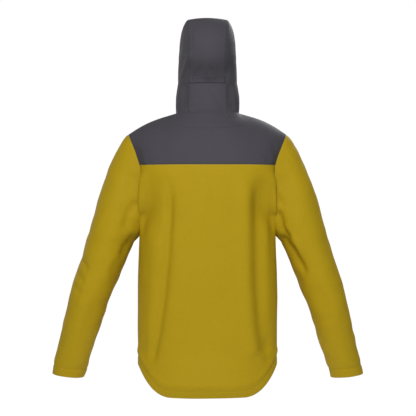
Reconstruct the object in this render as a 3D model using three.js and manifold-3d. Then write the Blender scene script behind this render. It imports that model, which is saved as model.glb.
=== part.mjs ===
// Hardshell jacket: a hooded, three-layer waterproof jacket with a yoke across the shoulders, a full front
// zip and two hand pockets. Each cut panel, tape, facing and zip part is its own closed solid.
// Millimetres, +Z up. The origin is the neck seam at centre back, the back faces +Y, and the wearer's left
// hand is at +X.
import * as THREE from "three";
import { mergeVertices } from "three/addons/utils/BufferGeometryUtils.js";
import Module from "manifold-3d";

// Fabric and gaps
const FABRIC = 1.6; // the shell laminate, thicker than the cloth so that it is a sound solid
const LINING = 0.8; // tapes, facings and pocket cloth
const SEAM = 0.3; // the gap that pieces sewn or seated together keep
const LAY = 0.5; // the gap between curved layers that lie on each other

// Body
const BACK_LENGTH = 770; // neck seam to hem at centre back
const TAIL_DROP = 76; // how far the back hem hangs below the side seams
const HALF_CHEST = 195; // half the width across the chest and the hem
const BLADE_DEPTH = 62; // how far the back stands behind the neck seam
const YOKE_DROP = 144; // neck seam down to the back yoke seam
const FRONT_YOKE_DROP = 165;
const SHOULDER_X = 219; // shoulder tips
const SHOULDER_DROP = 57;
const SHOULDER_ARCH = 8; // how far the shoulder seam rises over a straight line
const SEAM_LINE_Y = -76; // the shoulder tips, underarms and side seams lie in this plane

// Neck and front edge
const NECK_HALF_WIDTH = 87;
const NECK_SIDE_Y = -65; // where the shoulder seam meets the neck
const NECK_SIDE_Z = 3;
const FRONT_NECK_DROP = 70;
const COLLAR_TOP = 22; // height of the closed collar at centre front
const COLLAR_FRONT_Y = -172;
const ZIP_LEAN = Math.atan(0.068); // the front edge leans forward on its way down

// Armholes and sleeves
const ARMHOLE_HEIGHT = 223; // shoulder tip down to underarm
const ARMHOLE_HALF_DEPTH = 64;
const ARMHOLE_SCOOP = 11; // how far the seam curves in towards the body, front and back
const UNDERARM_INSET = 35; // the underarm lies this far inside the chest's half width
const UNDERARM_X = HALF_CHEST - UNDERARM_INSET;
const UPPER_ARM = 190; // bicep to elbow
const FOREARM = 244; // elbow to cuff
const BICEP_HALF_WIDTH = 64;
const BICEP_HALF_DEPTH = 76;
const CUFF_HALF_WIDTH = 45;
const CUFF_HALF_DEPTH = 49;

// Hood
const HOOD_TOP = 266;
const HOOD_HALF_WIDTH = 76;
const HOOD_STRIP_HALF = 55; // half the width of the hood's centre panel
const PEAK_LENGTH = 24;

// Hems
const HEM = 23; // depth of the turned hem
const CUFF_HEM = 28;

// Zips
const ZIP_REVEAL = 5; // the front edges stop this far from centre front
const BEAD_WIDTH = 2.5; // one side's row of teeth
const BEAD_DEPTH = 2.9;
const POST = 1; // half the width of the slider's post, which parts the two rows
const TAPE_WIDTH = 12;
const PLATE = 2; // thickness of a slider's face plate
const SLIDER_LENGTH = 14;
const SLIDER_HALF_WIDTH = 4.6;
const PULL_LENGTH = 18;
const GRIP_LENGTH = 24;
const POCKET_ZIP = 160; // length of a hand pocket's mouth
const POCKET_TOP = -385; // height of its upper end
const POCKET_ACROSS = 0.44; // its place round the front, from the zip (0) to the side seam (1)
const POCKET_ROOM = 12; // how thick the empty pocket bag stands
const POCKET_DEEP = 215; // height of the pocket bag

const wasm = await Module();
wasm.setup();

const vec = (x, y, z) => new THREE.Vector3(x, y, z);
const mix = THREE.MathUtils.lerp;
const smooth = (x, from, to) => THREE.MathUtils.smoothstep(x, from, to);

// A smooth curve through pairs of [height, value], read by height.
function profile(pairs) {
  const slope = (i) => {
    const a = pairs[Math.max(0, i - 1)];
    const b = pairs[Math.min(pairs.length - 1, i + 1)];
    return (b[1] - a[1]) / (b[0] - a[0]);
  };
  return (at) => {
    const t = THREE.MathUtils.clamp(at, pairs[0][0], pairs[pairs.length - 1][0]);
    let i = pairs.findIndex((pair) => pair[0] >= t) - 1;
    if (i < 0) i = 0;
    const span = pairs[i + 1][0] - pairs[i][0];
    const k = (t - pairs[i][0]) / span;
    const a = pairs[i][1];
    const b = pairs[i + 1][1];
    const rise = (1 - k) * slope(i) * span - k * slope(i + 1) * span;
    return mix(a, b, k * k * (3 - 2 * k)) + k * (1 - k) * rise;
  };
}

const bezier = (a, b, c, d, t) => new THREE.CubicBezierCurve3(a, b, c, d).getPoint(t);

// A patch filled in between four edges: bottom and top run with u, start and end run with v.
function coons(bottom, top, start, end) {
  return (u, v) => {
    const along = bottom(u).multiplyScalar(1 - v).addScaledVector(top(u), v);
    const across = start(v).multiplyScalar(1 - u).addScaledVector(end(v), u);
    const corners = bottom(0).multiplyScalar((1 - u) * (1 - v))
      .addScaledVector(bottom(1), u * (1 - v))
      .addScaledVector(top(0), (1 - u) * v)
      .addScaledVector(top(1), u * v);
    return along.add(across).sub(corners);
  };
}

// ---- The lines that the panels share

// The armhole seam, from 0 at the shoulder tip, through the back, to pi at the underarm.
const armholeUp = vec(SHOULDER_X - UNDERARM_X, 0, ARMHOLE_HEIGHT).normalize();
const armholeOut = vec(armholeUp.z, 0, -armholeUp.x);
const underarmZ = -SHOULDER_DROP - ARMHOLE_HEIGHT;
const armholeCentre = vec((SHOULDER_X + UNDERARM_X) / 2, SEAM_LINE_Y, underarmZ + ARMHOLE_HEIGHT / 2);
const armholeHalf = Math.hypot(SHOULDER_X - UNDERARM_X, ARMHOLE_HEIGHT) / 2;
function armhole(angle) {
  return armholeCentre.clone()
    .addScaledVector(armholeUp, armholeHalf * Math.cos(angle))
    .add(vec(-ARMHOLE_SCOOP * Math.sin(angle) ** 2, ARMHOLE_HALF_DEPTH * Math.sin(angle), 0));
}
const armholeAngle = (z) => Math.acos((z - armholeCentre.z) / armholeUp.z / armholeHalf);

// The neck seam, from centre back to the side of the neck, and on to centre front.
const neckSide = vec(NECK_HALF_WIDTH, NECK_SIDE_Y, NECK_SIDE_Z);
const frontY = (z) => COLLAR_FRONT_Y - (COLLAR_TOP - z) * Math.tan(ZIP_LEAN);
const neckFront = vec(ZIP_REVEAL, frontY(-FRONT_NECK_DROP), -FRONT_NECK_DROP);
function backNeck(t) {
  const squareOut = vec(NECK_HALF_WIDTH * 0.55, 0, 0);
  const squareIn = vec(NECK_HALF_WIDTH, NECK_SIDE_Y * 0.4, NECK_SIDE_Z);
  return bezier(vec(0, 0, 0), squareOut, squareIn, neckSide, t);
}
function frontNeck(t) {
  const down = vec(NECK_HALF_WIDTH, NECK_SIDE_Y - 42, -12);
  const across = vec(NECK_HALF_WIDTH * 0.95, neckFront.y, neckFront.z);
  return bezier(neckSide, down, across, neckFront, t);
}
const shoulderTip = armhole(0);
function shoulderSeam(t) {
  const straight = neckSide.clone().lerp(shoulderTip, t);
  return straight.add(vec(0, 0, SHOULDER_ARCH * Math.sin(Math.PI * t)));
}

// The side seam's distance from the middle, which narrows to the underarm.
const sideX = (z) => mix(UNDERARM_X, HALF_CHEST - 2, smooth(underarmZ - z, 0, 130));

// Centre back, from the hem up to the neck seam.
const backY = profile([
  [-BACK_LENGTH, BLADE_DEPTH - 12],
  [-BACK_LENGTH + 25, BLADE_DEPTH],
  [-BACK_LENGTH + 50, BLADE_DEPTH],
  [-BACK_LENGTH + 130, BLADE_DEPTH - 14],
  [-YOKE_DROP - 106, BLADE_DEPTH],
  [-YOKE_DROP, BLADE_DEPTH - 4],
  [-41, BLADE_DEPTH * 0.35],
  [0, 0],
]);

const FULLNESS = 2.4; // how far the cloth bellies out where the side seam runs in, as a share of the inset
// Half of a level line round the torso, from the middle (u = 0) to the side seam or the armhole (u = 1).
function levelLine(u, middle, edge, forward) {
  const slack = FULLNESS * Math.max(0, HALF_CHEST - edge.x) * smooth(underarmZ - edge.z, 0, 60);
  const belly = edge.x + slack;
  const first = vec(middle.x + HALF_CHEST * 0.66, middle.y + forward, middle.z);
  const second = vec(belly, mix(edge.y, middle.y, 0.52), edge.z);
  const point = bezier(middle, first, second, edge, u);
  point.z = mix(middle.z, edge.z, u * u);
  return point;
}

// ---- Outward directions, which depend on the place alone, so that pieces meet square at every seam

function bodyOutward(p) {
  return vec(0.3 * p.x, p.y - SEAM_LINE_Y, Math.max(0, p.z + SHOULDER_DROP * 2)).normalize();
}
function hoodOutward(p) {
  const rise = Math.max(0, p.z - HOOD_TOP * 0.6);
  return vec(p.x, (p.y + 95) * 0.8, rise).normalize();
}
const mirrored = (p) => vec(Math.abs(p.x), p.y, p.z);
const loops = {
  armhole: Array.from({ length: 64 }, (_, i) => armhole((i * Math.PI) / 32)),
  neck: [backNeck, frontNeck].flatMap((line) => Array.from({ length: 24 }, (_, i) => line(i / 23))),
};
const nearness = (p, loop) => 0.5 * smooth(-Math.min(...loop.map((q) => q.distanceTo(mirrored(p)))), -40, -6);
function armholeOutward(p) {
  const from = mirrored(p).sub(armholeCentre);
  from.addScaledVector(armholeOut, -from.dot(armholeOut)).normalize();
  from.x *= Math.sign(p.x) || 1;
  return from;
}
function torsoDirection(p) {
  return bodyOutward(p)
    .lerp(armholeOutward(p), nearness(p, loops.armhole)).normalize()
    .lerp(hoodOutward(p), nearness(p, loops.neck)).normalize();
}
function hoodDirection(p) {
  return hoodOutward(p).lerp(bodyOutward(p), nearness(p, loops.neck)).normalize();
}

// ---- Solids

// A closed sheet: the surface at(u, v) between two depths below it. Wrap joins the last column to the first.
function sheet(at, columns, rows, outward, near, far, wrap = false) {
  const count = wrap ? columns : columns + 1;
  const positions = [];
  for (const depth of [near, far])
    for (let j = 0; j <= rows; j++)
      for (let i = 0; i < count; i++) {
        const p = at(i / columns, j / rows);
        p.addScaledVector(outward(p, i / columns, j / rows), -depth);
        positions.push(p.x, p.y, p.z);
      }
  const id = (layer, i, j) => (layer * (rows + 1) + j) * count + (wrap ? i % count : i);
  const faces = [];
  const quad = (a, b, c, d) => faces.push(a, b, c, a, c, d);
  for (let j = 0; j < rows; j++)
    for (let i = 0; i < columns; i++) {
      quad(id(0, i, j), id(0, i + 1, j), id(0, i + 1, j + 1), id(0, i, j + 1));
      quad(id(1, i, j), id(1, i, j + 1), id(1, i + 1, j + 1), id(1, i + 1, j));
    }
  for (let i = 0; i < columns; i++) {
    quad(id(0, i, 0), id(1, i, 0), id(1, i + 1, 0), id(0, i + 1, 0));
    quad(id(0, i, rows), id(0, i + 1, rows), id(1, i + 1, rows), id(1, i, rows));
  }
  if (!wrap)
    for (let j = 0; j < rows; j++) {
      quad(id(0, 0, j), id(0, 0, j + 1), id(1, 0, j + 1), id(1, 0, j));
      quad(id(0, columns, j), id(1, columns, j), id(1, columns, j + 1), id(0, columns, j + 1));
    }
  const geometry = new THREE.BufferGeometry();
  geometry.setAttribute("position", new THREE.Float32BufferAttribute(positions, 3));
  geometry.setIndex(faces);
  return facingOut(geometry);
}

// Turns the faces round if the solid is inside out.
function facingOut(geometry) {
  const place = geometry.attributes.position;
  const index = geometry.index.array;
  const [a, b, c] = [vec(), vec(), vec()];
  let volume = 0;
  for (let i = 0; i < index.length; i += 3) {
    [a, b, c].forEach((corner, k) => corner.fromBufferAttribute(place, index[i + k]));
    volume += a.dot(b.cross(c));
  }
  if (volume < 0)
    for (let i = 0; i < index.length; i += 3) [index[i + 1], index[i + 2]] = [index[i + 2], index[i + 1]];
  geometry.computeVertexNormals();
  return geometry;
}

// The same patch with its edges drawn back for the seam gap. Keep "start" or "both" leaves those u edges.
function trimmed(at, keep = "none") {
  const length = (line) => {
    let sum = 0;
    for (let i = 0; i < 12; i++) sum += line(i / 12).distanceTo(line((i + 1) / 12));
    return sum;
  };
  const du = SEAM / length((t) => at(t, 0.5));
  const dv = SEAM / length((t) => at(0.5, t));
  const u0 = keep === "none" ? du : 0;
  const u1 = keep === "both" ? 1 : 1 - du;
  return (u, v) => at(mix(u0, u1, u), mix(dv, 1 - dv, v));
}
// The patch as its own flat facets, for what lies against them.
function faceted(at, columns, rows) {
  return (u, v) => {
    const i = Math.min(columns - 1, Math.floor(u * columns));
    const j = Math.min(rows - 1, Math.floor(v * rows));
    const [a, b] = [u * columns - i, v * rows - j];
    const corner = (di, dj) => at((i + di) / columns, (j + dj) / rows);
    return corner(0, 0).lerp(corner(1, 0), a).lerp(corner(0, 1).lerp(corner(1, 1), a), b);
  };
}
const part = (at, u0, u1, v0, v1) => (u, v) => at(mix(u0, u1, u), mix(v0, v1, v));

function solid(geometry) {
  const bare = new THREE.BufferGeometry();
  bare.setAttribute("position", geometry.attributes.position);
  if (geometry.index) bare.setIndex(geometry.index);
  const merged = mergeVertices(bare, 1e-4);
  const triVerts = new Uint32Array(merged.index.array);
  const vertProperties = merged.attributes.position.array;
  return new wasm.Manifold(new wasm.Mesh({ numProp: 3, vertProperties, triVerts }));
}
function surface(made) {
  const mesh = made.getMesh();
  const geometry = new THREE.BufferGeometry();
  geometry.setAttribute("position", new THREE.BufferAttribute(mesh.vertProperties, 3));
  geometry.setIndex(new THREE.BufferAttribute(mesh.triVerts, 1));
  geometry.computeVertexNormals();
  return geometry;
}
// What is left of a solid clear of the named shell panels, with the seam gap all round.
const allowance = {};
function clearOf(geometry, ...names) {
  const left = names.reduce((rest, name) => rest.subtract(solid(allowance[name])), solid(geometry));
  return surface(left.decompose().sort((a, b) => b.volume() - a.volume())[0]);
}
const cut = (from, ...tools) =>
  surface(tools.reduce((rest, tool) => rest.subtract(solid(tool)), solid(from)));
const join = (first, ...others) =>
  surface(others.reduce((sum, other) => sum.add(solid(other)), solid(first)));

const jacket = new THREE.Group();
const FINISH = {
  shell: [0xb2961a, 0.62, 0],
  yoke: [0x4a484d, 0.66, 0],
  tape: [0x2c2b2e, 0.5, 0],
  lining: [0x3c3b40, 0.8, 0],
  webbing: [0x242326, 0.85, 0],
  elastic: [0x1f1e21, 0.85, 0],
  zipTape: [0x2f2e31, 0.55, 0],
  teeth: [0x1c1c1e, 0.35, 0],
  metal: [0x3a3a3d, 0.35, 0.9],
  grip: [0x202022, 0.6, 0],
};
const finishes = Object.fromEntries(
  Object.entries(FINISH).map(([name, [color, roughness, metalness]]) => [
    name,
    () => new THREE.MeshStandardMaterial({ color, roughness, metalness, side: THREE.DoubleSide }),
  ]),
);
function piece(name, geometry, finish, parent = jacket) {
  const mesh = new THREE.Mesh(geometry, finishes[finish]());
  mesh.name = name;
  parent.add(mesh);
  return mesh;
}

const SIDES = [["left", 1], ["right", -1]];
const onSide = (at, side) => (u, v) => {
  const p = at(u, v);
  p.x *= side;
  return p;
};
const wholeWidth = (at) => (u, v) => {
  const across = 2 * u - 1;
  const p = at(Math.abs(across), v);
  p.x *= across < 0 ? -1 : 1;
  return p;
};
// One cut panel of the shell. It gives back its outer facets, on the wearer's left, for the layers inside.
function panel(name, at, columns, rows, direction, finish, side = 0) {
  const edge = trimmed(at, side ? "none" : "start");
  const whole = side ? onSide(edge, side) : wholeWidth(edge);
  const across = side ? columns : 2 * columns;
  piece(name, sheet(whole, across, rows, direction, 0, FABRIC), finish);
  const full = side ? onSide(at, side) : wholeWidth(at);
  allowance[name] = sheet(full, across, rows, direction, -SEAM, FABRIC + SEAM);
  return faceted(edge, columns, rows);
}
const inside = [FABRIC + LAY, FABRIC + LAY + LINING]; // the depths of a layer laid inside the shell

// ---- Back: a long drop-tailed panel and the shoulder yoke

const sideHem = -BACK_LENGTH + TAIL_DROP; // of the back panel, at the side seams
const tailHem = (u) => mix(-BACK_LENGTH, sideHem, smooth(u, 0.3, 0.9));
const sideEdge = (z) => vec(sideX(z), SEAM_LINE_Y, z);
const middleBack = (z) => vec(0, backY(z), z);
const backYokeAngle = armholeAngle(-YOKE_DROP);
const LOWER_SHARE = 0.75; // the part of a panel's rows that lies below the underarm
const NECK_SHARE = 0.4; // the part of a yoke's top edge that lies on the neck seam
const crowned = (at, height) => (u, v) => {
  const p = at(u, v);
  return p.addScaledVector(bodyOutward(p), height * Math.sin(Math.PI * u) * Math.sin(Math.PI * v));
};
function backPanel(u, v) {
  if (v <= LOWER_SHARE) {
    const z = mix(tailHem(u), underarmZ, v / LOWER_SHARE);
    return levelLine(u, middleBack(z), sideEdge(z), 0);
  }
  const t = (v - LOWER_SHARE) / (1 - LOWER_SHARE);
  const edge = armhole(mix(Math.PI, backYokeAngle, t));
  return levelLine(u, middleBack(mix(underarmZ, -YOKE_DROP, t)), edge, 0);
}
function yokeTop(neck) {
  return (u) => (u < NECK_SHARE ? neck(u / NECK_SHARE) : shoulderSeam((u - NECK_SHARE) / (1 - NECK_SHARE)));
}
const backYoke = crowned(
  coons(
    (u) => backPanel(u, 1),
    yokeTop(backNeck),
    (v) => middleBack(mix(-YOKE_DROP, 0, v)),
    (v) => armhole(mix(backYokeAngle, 0, v)),
  ),
  15,
);
const BACK_COLUMNS = 8; // facets on each side of the middle
const backFacets = panel("back_panel", backPanel, BACK_COLUMNS, 12, torsoDirection, "shell");
const backYokeFacets = panel("back_yoke", backYoke, 10, 5, torsoDirection, "yoke");
const backHemShare = (LOWER_SHARE * HEM) / (BACK_LENGTH + underarmZ);
const backHem = wholeWidth(part(backFacets, 0, 1 - 1 / BACK_COLUMNS, 0.002, backHemShare));
const backHemSheet = sheet(backHem, 2 * (BACK_COLUMNS - 1), 1, torsoDirection, ...inside);
piece("hem_facing_back", clearOf(backHemSheet, "back_panel"), "lining");

// The tape that seals the yoke seam inside, the tape over the back neck seam, and the hanging loop.
const TAPE_SHARE = 0.012;
const yokeTape = (u, v) =>
  v < 0.5 ? backFacets(u * 0.97, 1 - TAPE_SHARE * (1 - 2 * v)) : backYokeFacets(u * 0.97, 0.06 * (2 * v - 1));
const yokeTapeSheet = sheet(wholeWidth(yokeTape), 16, 2, torsoDirection, ...inside);
piece("yoke_seam_tape", clearOf(yokeTapeSheet, "back_panel", "back_yoke"), "tape");
const neckTape = part(backYokeFacets, 0, NECK_SHARE * 0.98, 0.9, 0.995);
const neckTapeSheet = sheet(wholeWidth(neckTape), 8, 1, torsoDirection, ...inside);
piece("neck_tape", clearOf(neckTapeSheet, "back_yoke"), "webbing");

const LOOP_HALF = 28;
const LOOP_DROP = 26;
const LOOP_WIDTH = 8;
const LOOP_THICK = 0.7; // half the loop's thickness
const LOOP_EASE = 0.9; // the tape curves in between the loop's ends by this much
let loopAcross = 0; // where the loop's ends are sewn, along the tape
while (neckTape(loopAcross, 0.5).x < LOOP_HALF) loopAcross += 0.002;
const loopSeat = neckTape(loopAcross, 0.5);
loopSeat.addScaledVector(torsoDirection(loopSeat), -inside[1] - SEAM);
const loopPath = new THREE.CatmullRomCurve3(
  [-1, -0.93, -0.6, 0, 0.6, 0.93, 1].map((x) => vec(x * LOOP_HALF, 0, -LOOP_DROP * (1 - x ** 4))),
);
const loopCorners = [[-1, -1], [1, -1], [1, 1], [-1, 1]];
const loopSection = new THREE.Shape(
  loopCorners.map(([x, y]) => new THREE.Vector2((x * LOOP_WIDTH) / 2, y * LOOP_THICK)),
);
const loop = new THREE.ExtrudeGeometry(loopSection, { steps: 18, extrudePath: loopPath });
const hangLoop = piece("hang_loop", loop, "webbing");
hangLoop.position.set(0, loopSeat.y - LOOP_WIDTH / 2 - LOOP_EASE, loopSeat.z);

// ---- Fronts: a panel, a yoke and a chin panel at each side, parted by the zip

const FRONT_YOKE_SIDE_DROP = 140;
const FRONT_HEM_DIP = 9; // centre front hangs this far below the side seams
const CHEST = 14; // how far each side of the chest stands in front of the zip
const frontYokeAngle = armholeAngle(-FRONT_YOKE_SIDE_DROP);
const middleFront = (z) => vec(ZIP_REVEAL, frontY(z), z);
const frontHem = (u) => sideHem - FRONT_HEM_DIP * (1 - u);
function frontPanel(u, v) {
  if (v <= LOWER_SHARE) {
    const z = mix(frontHem(u), underarmZ, v / LOWER_SHARE);
    return levelLine(u, middleFront(z), sideEdge(z), -CHEST);
  }
  const t = (v - LOWER_SHARE) / (1 - LOWER_SHARE);
  const edge = armhole(-mix(Math.PI, frontYokeAngle, t));
  return levelLine(u, middleFront(mix(underarmZ, -FRONT_YOKE_DROP, t)), edge, -CHEST);
}
const frontYoke = crowned(
  coons(
    (u) => frontPanel(u, 1),
    yokeTop((t) => frontNeck(1 - t)),
    (v) => middleFront(mix(-FRONT_YOKE_DROP, -FRONT_NECK_DROP, v)),
    (v) => armhole(-mix(frontYokeAngle, 0, v)),
  ),
  12,
);

const FRONT_COLUMNS = 9;
const frontFacets = SIDES.map(([name, side]) => {
  panel(`front_yoke_${name}`, frontYoke, 8, 4, torsoDirection, "yoke", side);
  return panel(`front_panel_${name}`, frontPanel, FRONT_COLUMNS, 10, torsoDirection, "shell", side);
})[0];

// ---- Hood: a strip from the neck over the crown to the brow, and a side panel at each side

const CROWN = 13; // how far the strip's middle stands above its seams
const hoodMiddle = new THREE.CatmullRomCurve3([
  vec(0, 0, 0),
  vec(0, -4, HOOD_TOP * 0.17),
  vec(0, -8, HOOD_TOP * 0.36),
  vec(0, 22, HOOD_TOP * 0.56),
  vec(0, 16, HOOD_TOP * 0.8),
  vec(0, -32, HOOD_TOP * 0.975),
  vec(0, -100, HOOD_TOP),
  vec(0, -165, HOOD_TOP * 0.975),
  vec(0, -212, HOOD_TOP * 0.92),
]);
const CORNER = 0.56; // where the strip's seam turns from the back of the head to the crown
let seamStart = 0; // where the strip's seam meets the neck seam
while (backNeck(seamStart).x < HOOD_STRIP_HALF) seamStart += 0.002;
function stripSeam(t) {
  const way = hoodMiddle.getTangentAt(t);
  const p = hoodMiddle.getPointAt(t).add(vec(HOOD_STRIP_HALF, -way.z * CROWN, way.y * CROWN));
  const first = hoodMiddle.getTangentAt(0);
  const start = vec(HOOD_STRIP_HALF, -first.z * CROWN, first.y * CROWN);
  return p.addScaledVector(backNeck(seamStart).sub(start), 1 - smooth(t, 0, 0.15));
}
function strip(u, v) {
  const seam = stripSeam(v);
  const middle = hoodMiddle.getPointAt(v);
  return vec(seam.x * u, mix(middle.y, seam.y, u * u), mix(middle.z, seam.z, u * u));
}
const CHIN_SEAM = 0.35; // where the chin panel meets the hood's side, along the front neck seam
const CHEEK_X = 56; // where the chin panel's top meets the hood's edge
const CHEEK_RISE = 42;
const cheek = vec(CHEEK_X, COLLAR_FRONT_Y - 6, COLLAR_TOP + CHEEK_RISE);
const brow = stripSeam(1);
const FOLD = 0.3; // the share of the hood's height that stands as the collar
function faceEdge(v) {
  if (v < FOLD) return frontNeck(CHIN_SEAM).lerp(cheek, v / FOLD);
  const besideFace = vec(74, cheek.y, cheek.z + 50);
  const underBrow = vec(72, brow.y + 6, brow.z - 36);
  return bezier(cheek, besideFace, underBrow, brow, (v - FOLD) / (1 - FOLD));
}
const SIDE_NECK_SHARE = 0.4;
function sideNeck(u) {
  if (u < SIDE_NECK_SHARE) return backNeck(mix(seamStart, 1, u / SIDE_NECK_SHARE));
  return frontNeck(((u - SIDE_NECK_SHARE) / (1 - SIDE_NECK_SHARE)) * CHIN_SEAM);
}
const sideTop = (u) => stripSeam(mix(CORNER, 1, u));
const sidePatch = coons(sideNeck, sideTop, (v) => stripSeam(v * CORNER), faceEdge);
function hoodSide(u, v) {
  const p = sidePatch(u, v);
  const fullness = (HOOD_HALF_WIDTH - HOOD_STRIP_HALF) * Math.sin(Math.PI * u) ** 0.8;
  p.x += fullness * Math.sin(Math.PI * v) ** 0.8;
  return p;
}
// The lower part of all three hood panels, which stands up from the neck seam.
const SIDE_SHARE = 0.35;
function hoodLower(u, v) {
  const across = Math.abs(2 * u - 1);
  const middleShare = 1 - 2 * SIDE_SHARE;
  const p = across < middleShare
    ? strip(across / middleShare, v * FOLD * CORNER)
    : hoodSide((across - middleShare) / (2 * SIDE_SHARE), v * FOLD);
  p.x *= u < 0.5 ? -1 : 1;
  return p;
}
const HOOD_ROWS = 14;
const hoodStrip = part(strip, 0, 1, FOLD * CORNER, 1);
const hoodSideUpper = part(hoodSide, 0, 1, FOLD, 1);
const hoodLowerSheet = sheet(trimmed(hoodLower), 20, 3, hoodDirection, 0, FABRIC);
piece("hood_lower", clearOf(hoodLowerSheet, "back_yoke", "front_yoke_left", "front_yoke_right"), "yoke");
const stripFacets = panel("hood_centre_panel", hoodStrip, 3, HOOD_ROWS, hoodDirection, "yoke");
const sideFacets = SIDES.map(([name, side]) =>
  panel(`hood_side_${name}`, hoodSideUpper, 8, 7, hoodDirection, "yoke", side))[0];
for (const [name] of SIDES) {
  const sidePanel = jacket.getObjectByName(`hood_side_${name}`);
  sidePanel.geometry = clearOf(sidePanel.geometry, "hood_centre_panel");
}

// The stiffened peak, sewn to the strip's front edge.
const peakWay = vec(0, -0.94, -0.34);
function peak(u, v) {
  const across = 2 * u - 1;
  const edge = strip(Math.abs(across), 1);
  edge.x *= Math.sign(across) * 0.97;
  return edge.addScaledVector(peakWay, SEAM + v * PEAK_LENGTH * (1 - 0.55 * across * across));
}
piece("hood_peak", sheet(peak, 8, 2, () => vec(0, -0.34, 0.94), 0, FABRIC * 1.5), "yoke");

// The casing at the back of the head, the elastic in it, and the facing inside the face opening.
const CASING_LOW = 0.04;
const CASING_HIGH = 0.095;
const casing = wholeWidth(part(stripFacets, 0, 0.94, CASING_LOW, CASING_HIGH));
piece("hood_rear_casing", sheet(casing, 6, 2, hoodDirection, -LAY - LINING, -LAY), "yoke");
const elastic = wholeWidth(part(stripFacets, 0, 0.88, CASING_LOW + 0.01, CASING_HIGH - 0.01));
const elasticSheet = sheet(elastic, 6, 2, hoodDirection, ...inside);
piece("hood_rear_elastic", clearOf(elasticSheet, "hood_centre_panel"), "elastic");
const FACING_SHARE = 0.12;
function edgeFacing(u, v) {
  const across = Math.abs(2 * u - 1);
  const back = mix(0.01, FACING_SHARE, v);
  const p = across < 0.25
    ? stripFacets((across / 0.25) * 0.96, 1 - back * 0.5)
    : sideFacets(1 - back, mix(0.96, 0.01, (across - 0.25) / 0.75));
  p.x *= u < 0.5 ? -1 : 1;
  return p;
}
const edgeFacingSheet = sheet(edgeFacing, 24, 1, hoodDirection, ...inside);
const hoodPanels = ["hood_centre_panel", "hood_side_left", "hood_side_right"];
piece("hood_edge_facing", clearOf(edgeFacingSheet, ...hoodPanels), "lining");

// The chin panels close the collar in front.
const collarTop = (u) => {
  const underCheek = vec(44, cheek.y - 6, cheek.z - 24);
  const besideZip = vec(26, COLLAR_FRONT_Y - 5, COLLAR_TOP + 1);
  return bezier(cheek, underCheek, besideZip, middleFront(COLLAR_TOP), u);
};
const chinPanel = coons(
  (u) => frontNeck(mix(CHIN_SEAM, 1, u)),
  collarTop,
  (v) => faceEdge(v * FOLD),
  (v) => middleFront(mix(-FRONT_NECK_DROP, COLLAR_TOP, v)),
);
const chinFacets = SIDES.map(([name, side]) => {
  const facets = panel(`chin_panel_${name}`, chinPanel, 5, 4, hoodDirection, "yoke", side);
  const mesh = jacket.getObjectByName(`chin_panel_${name}`);
  mesh.geometry = clearOf(mesh.geometry, `front_yoke_${name}`);
  return facets;
})[0];
const guard = sheet(part(chinFacets, 0.35, 0.68, 0.5, 0.97), 3, 2, hoodDirection, ...inside);
piece("chin_guard", clearOf(guard, "chin_panel_left"), "lining");

// ---- Sleeves: rings fan out from the armhole about the underarm, then follow the arm

const UPPER_SPREAD = 0.35; // the upper arm's lean away from the body, in radians
const FOREARM_SPREAD = 0.29;
const FOREARM_BEND = 0.28; // forward
const FAN = 0.3; // the share of the sleeve's rings between the armhole and the bicep
const bicep = vec(UNDERARM_X + 105, SEAM_LINE_Y - 4, underarmZ - 52);
const upperWay = vec(Math.sin(UPPER_SPREAD), -0.03, -Math.cos(UPPER_SPREAD));
const elbow = bicep.clone().addScaledVector(upperWay, UPPER_ARM);
const forearmWay = vec(Math.sin(FOREARM_SPREAD), -Math.sin(FOREARM_BEND), -Math.cos(FOREARM_BEND));
forearmWay.normalize();
const cuff = elbow.clone().addScaledVector(forearmWay, FOREARM);
const armLine = new THREE.CatmullRomCurve3([
  bicep,
  bicep.clone().lerp(elbow, 0.5),
  elbow,
  elbow.clone().lerp(cuff, 0.5).add(vec(0, 3, 0)),
  cuff,
]);
const quadratic = (a, b, c, t) => new THREE.QuadraticBezierCurve3(a, b, c).getPoint(t);
const bicepAcross = vec(Math.cos(UPPER_SPREAD), 0, Math.sin(UPPER_SPREAD));
const bicepOuter = bicep.clone().addScaledVector(bicepAcross, BICEP_HALF_WIDTH);
const bicepInner = bicep.clone().addScaledVector(bicepAcross, -BICEP_HALF_WIDTH);
const deltoid = vec(SHOULDER_X + 50, SEAM_LINE_Y, -SHOULDER_DROP - 42); // rounds the top of the sleeve
const gusset = vec(UNDERARM_X + 8, SEAM_LINE_Y, underarmZ - 38); // rounds the underarm
function fanRing(k) {
  const outer = quadratic(shoulderTip, deltoid, bicepOuter, k);
  const inner = quadratic(armhole(Math.PI), gusset, bicepInner, k);
  const across = outer.clone().sub(inner);
  return {
    centre: outer.add(inner).multiplyScalar(0.5),
    halfWidth: across.length() / 2,
    halfDepth: mix(ARMHOLE_HALF_DEPTH, BICEP_HALF_DEPTH, smooth(k, 0, 1)),
    scoop: ARMHOLE_SCOOP * (1 - smooth(k, 0, 0.8)),
    across: across.normalize(),
    back: vec(0, 1, 0),
  };
}
function armRing(k) {
  const way = armLine.getTangentAt(k);
  const across = way.clone().cross(vec(0, 1, 0)).normalize();
  return {
    centre: armLine.getPointAt(k),
    halfWidth: mix(BICEP_HALF_WIDTH, CUFF_HALF_WIDTH, k ** 0.9),
    halfDepth: mix(BICEP_HALF_DEPTH, CUFF_HALF_DEPTH, k ** 0.9),
    scoop: 0,
    across,
    back: across.clone().cross(way),
  };
}
const sleeveRing = (t) => (t <= FAN ? fanRing(t / FAN) : armRing((t - FAN) / (1 - FAN)));
function sleeve(u, v) {
  const ring = sleeveRing(v);
  const angle = u * 2 * Math.PI;
  return ring.centre
    .addScaledVector(ring.across, ring.halfWidth * Math.cos(angle))
    .addScaledVector(ring.back, ring.halfDepth * Math.sin(angle))
    .add(vec(-ring.scoop * Math.sin(angle) ** 2, 0, 0));
}
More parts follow.
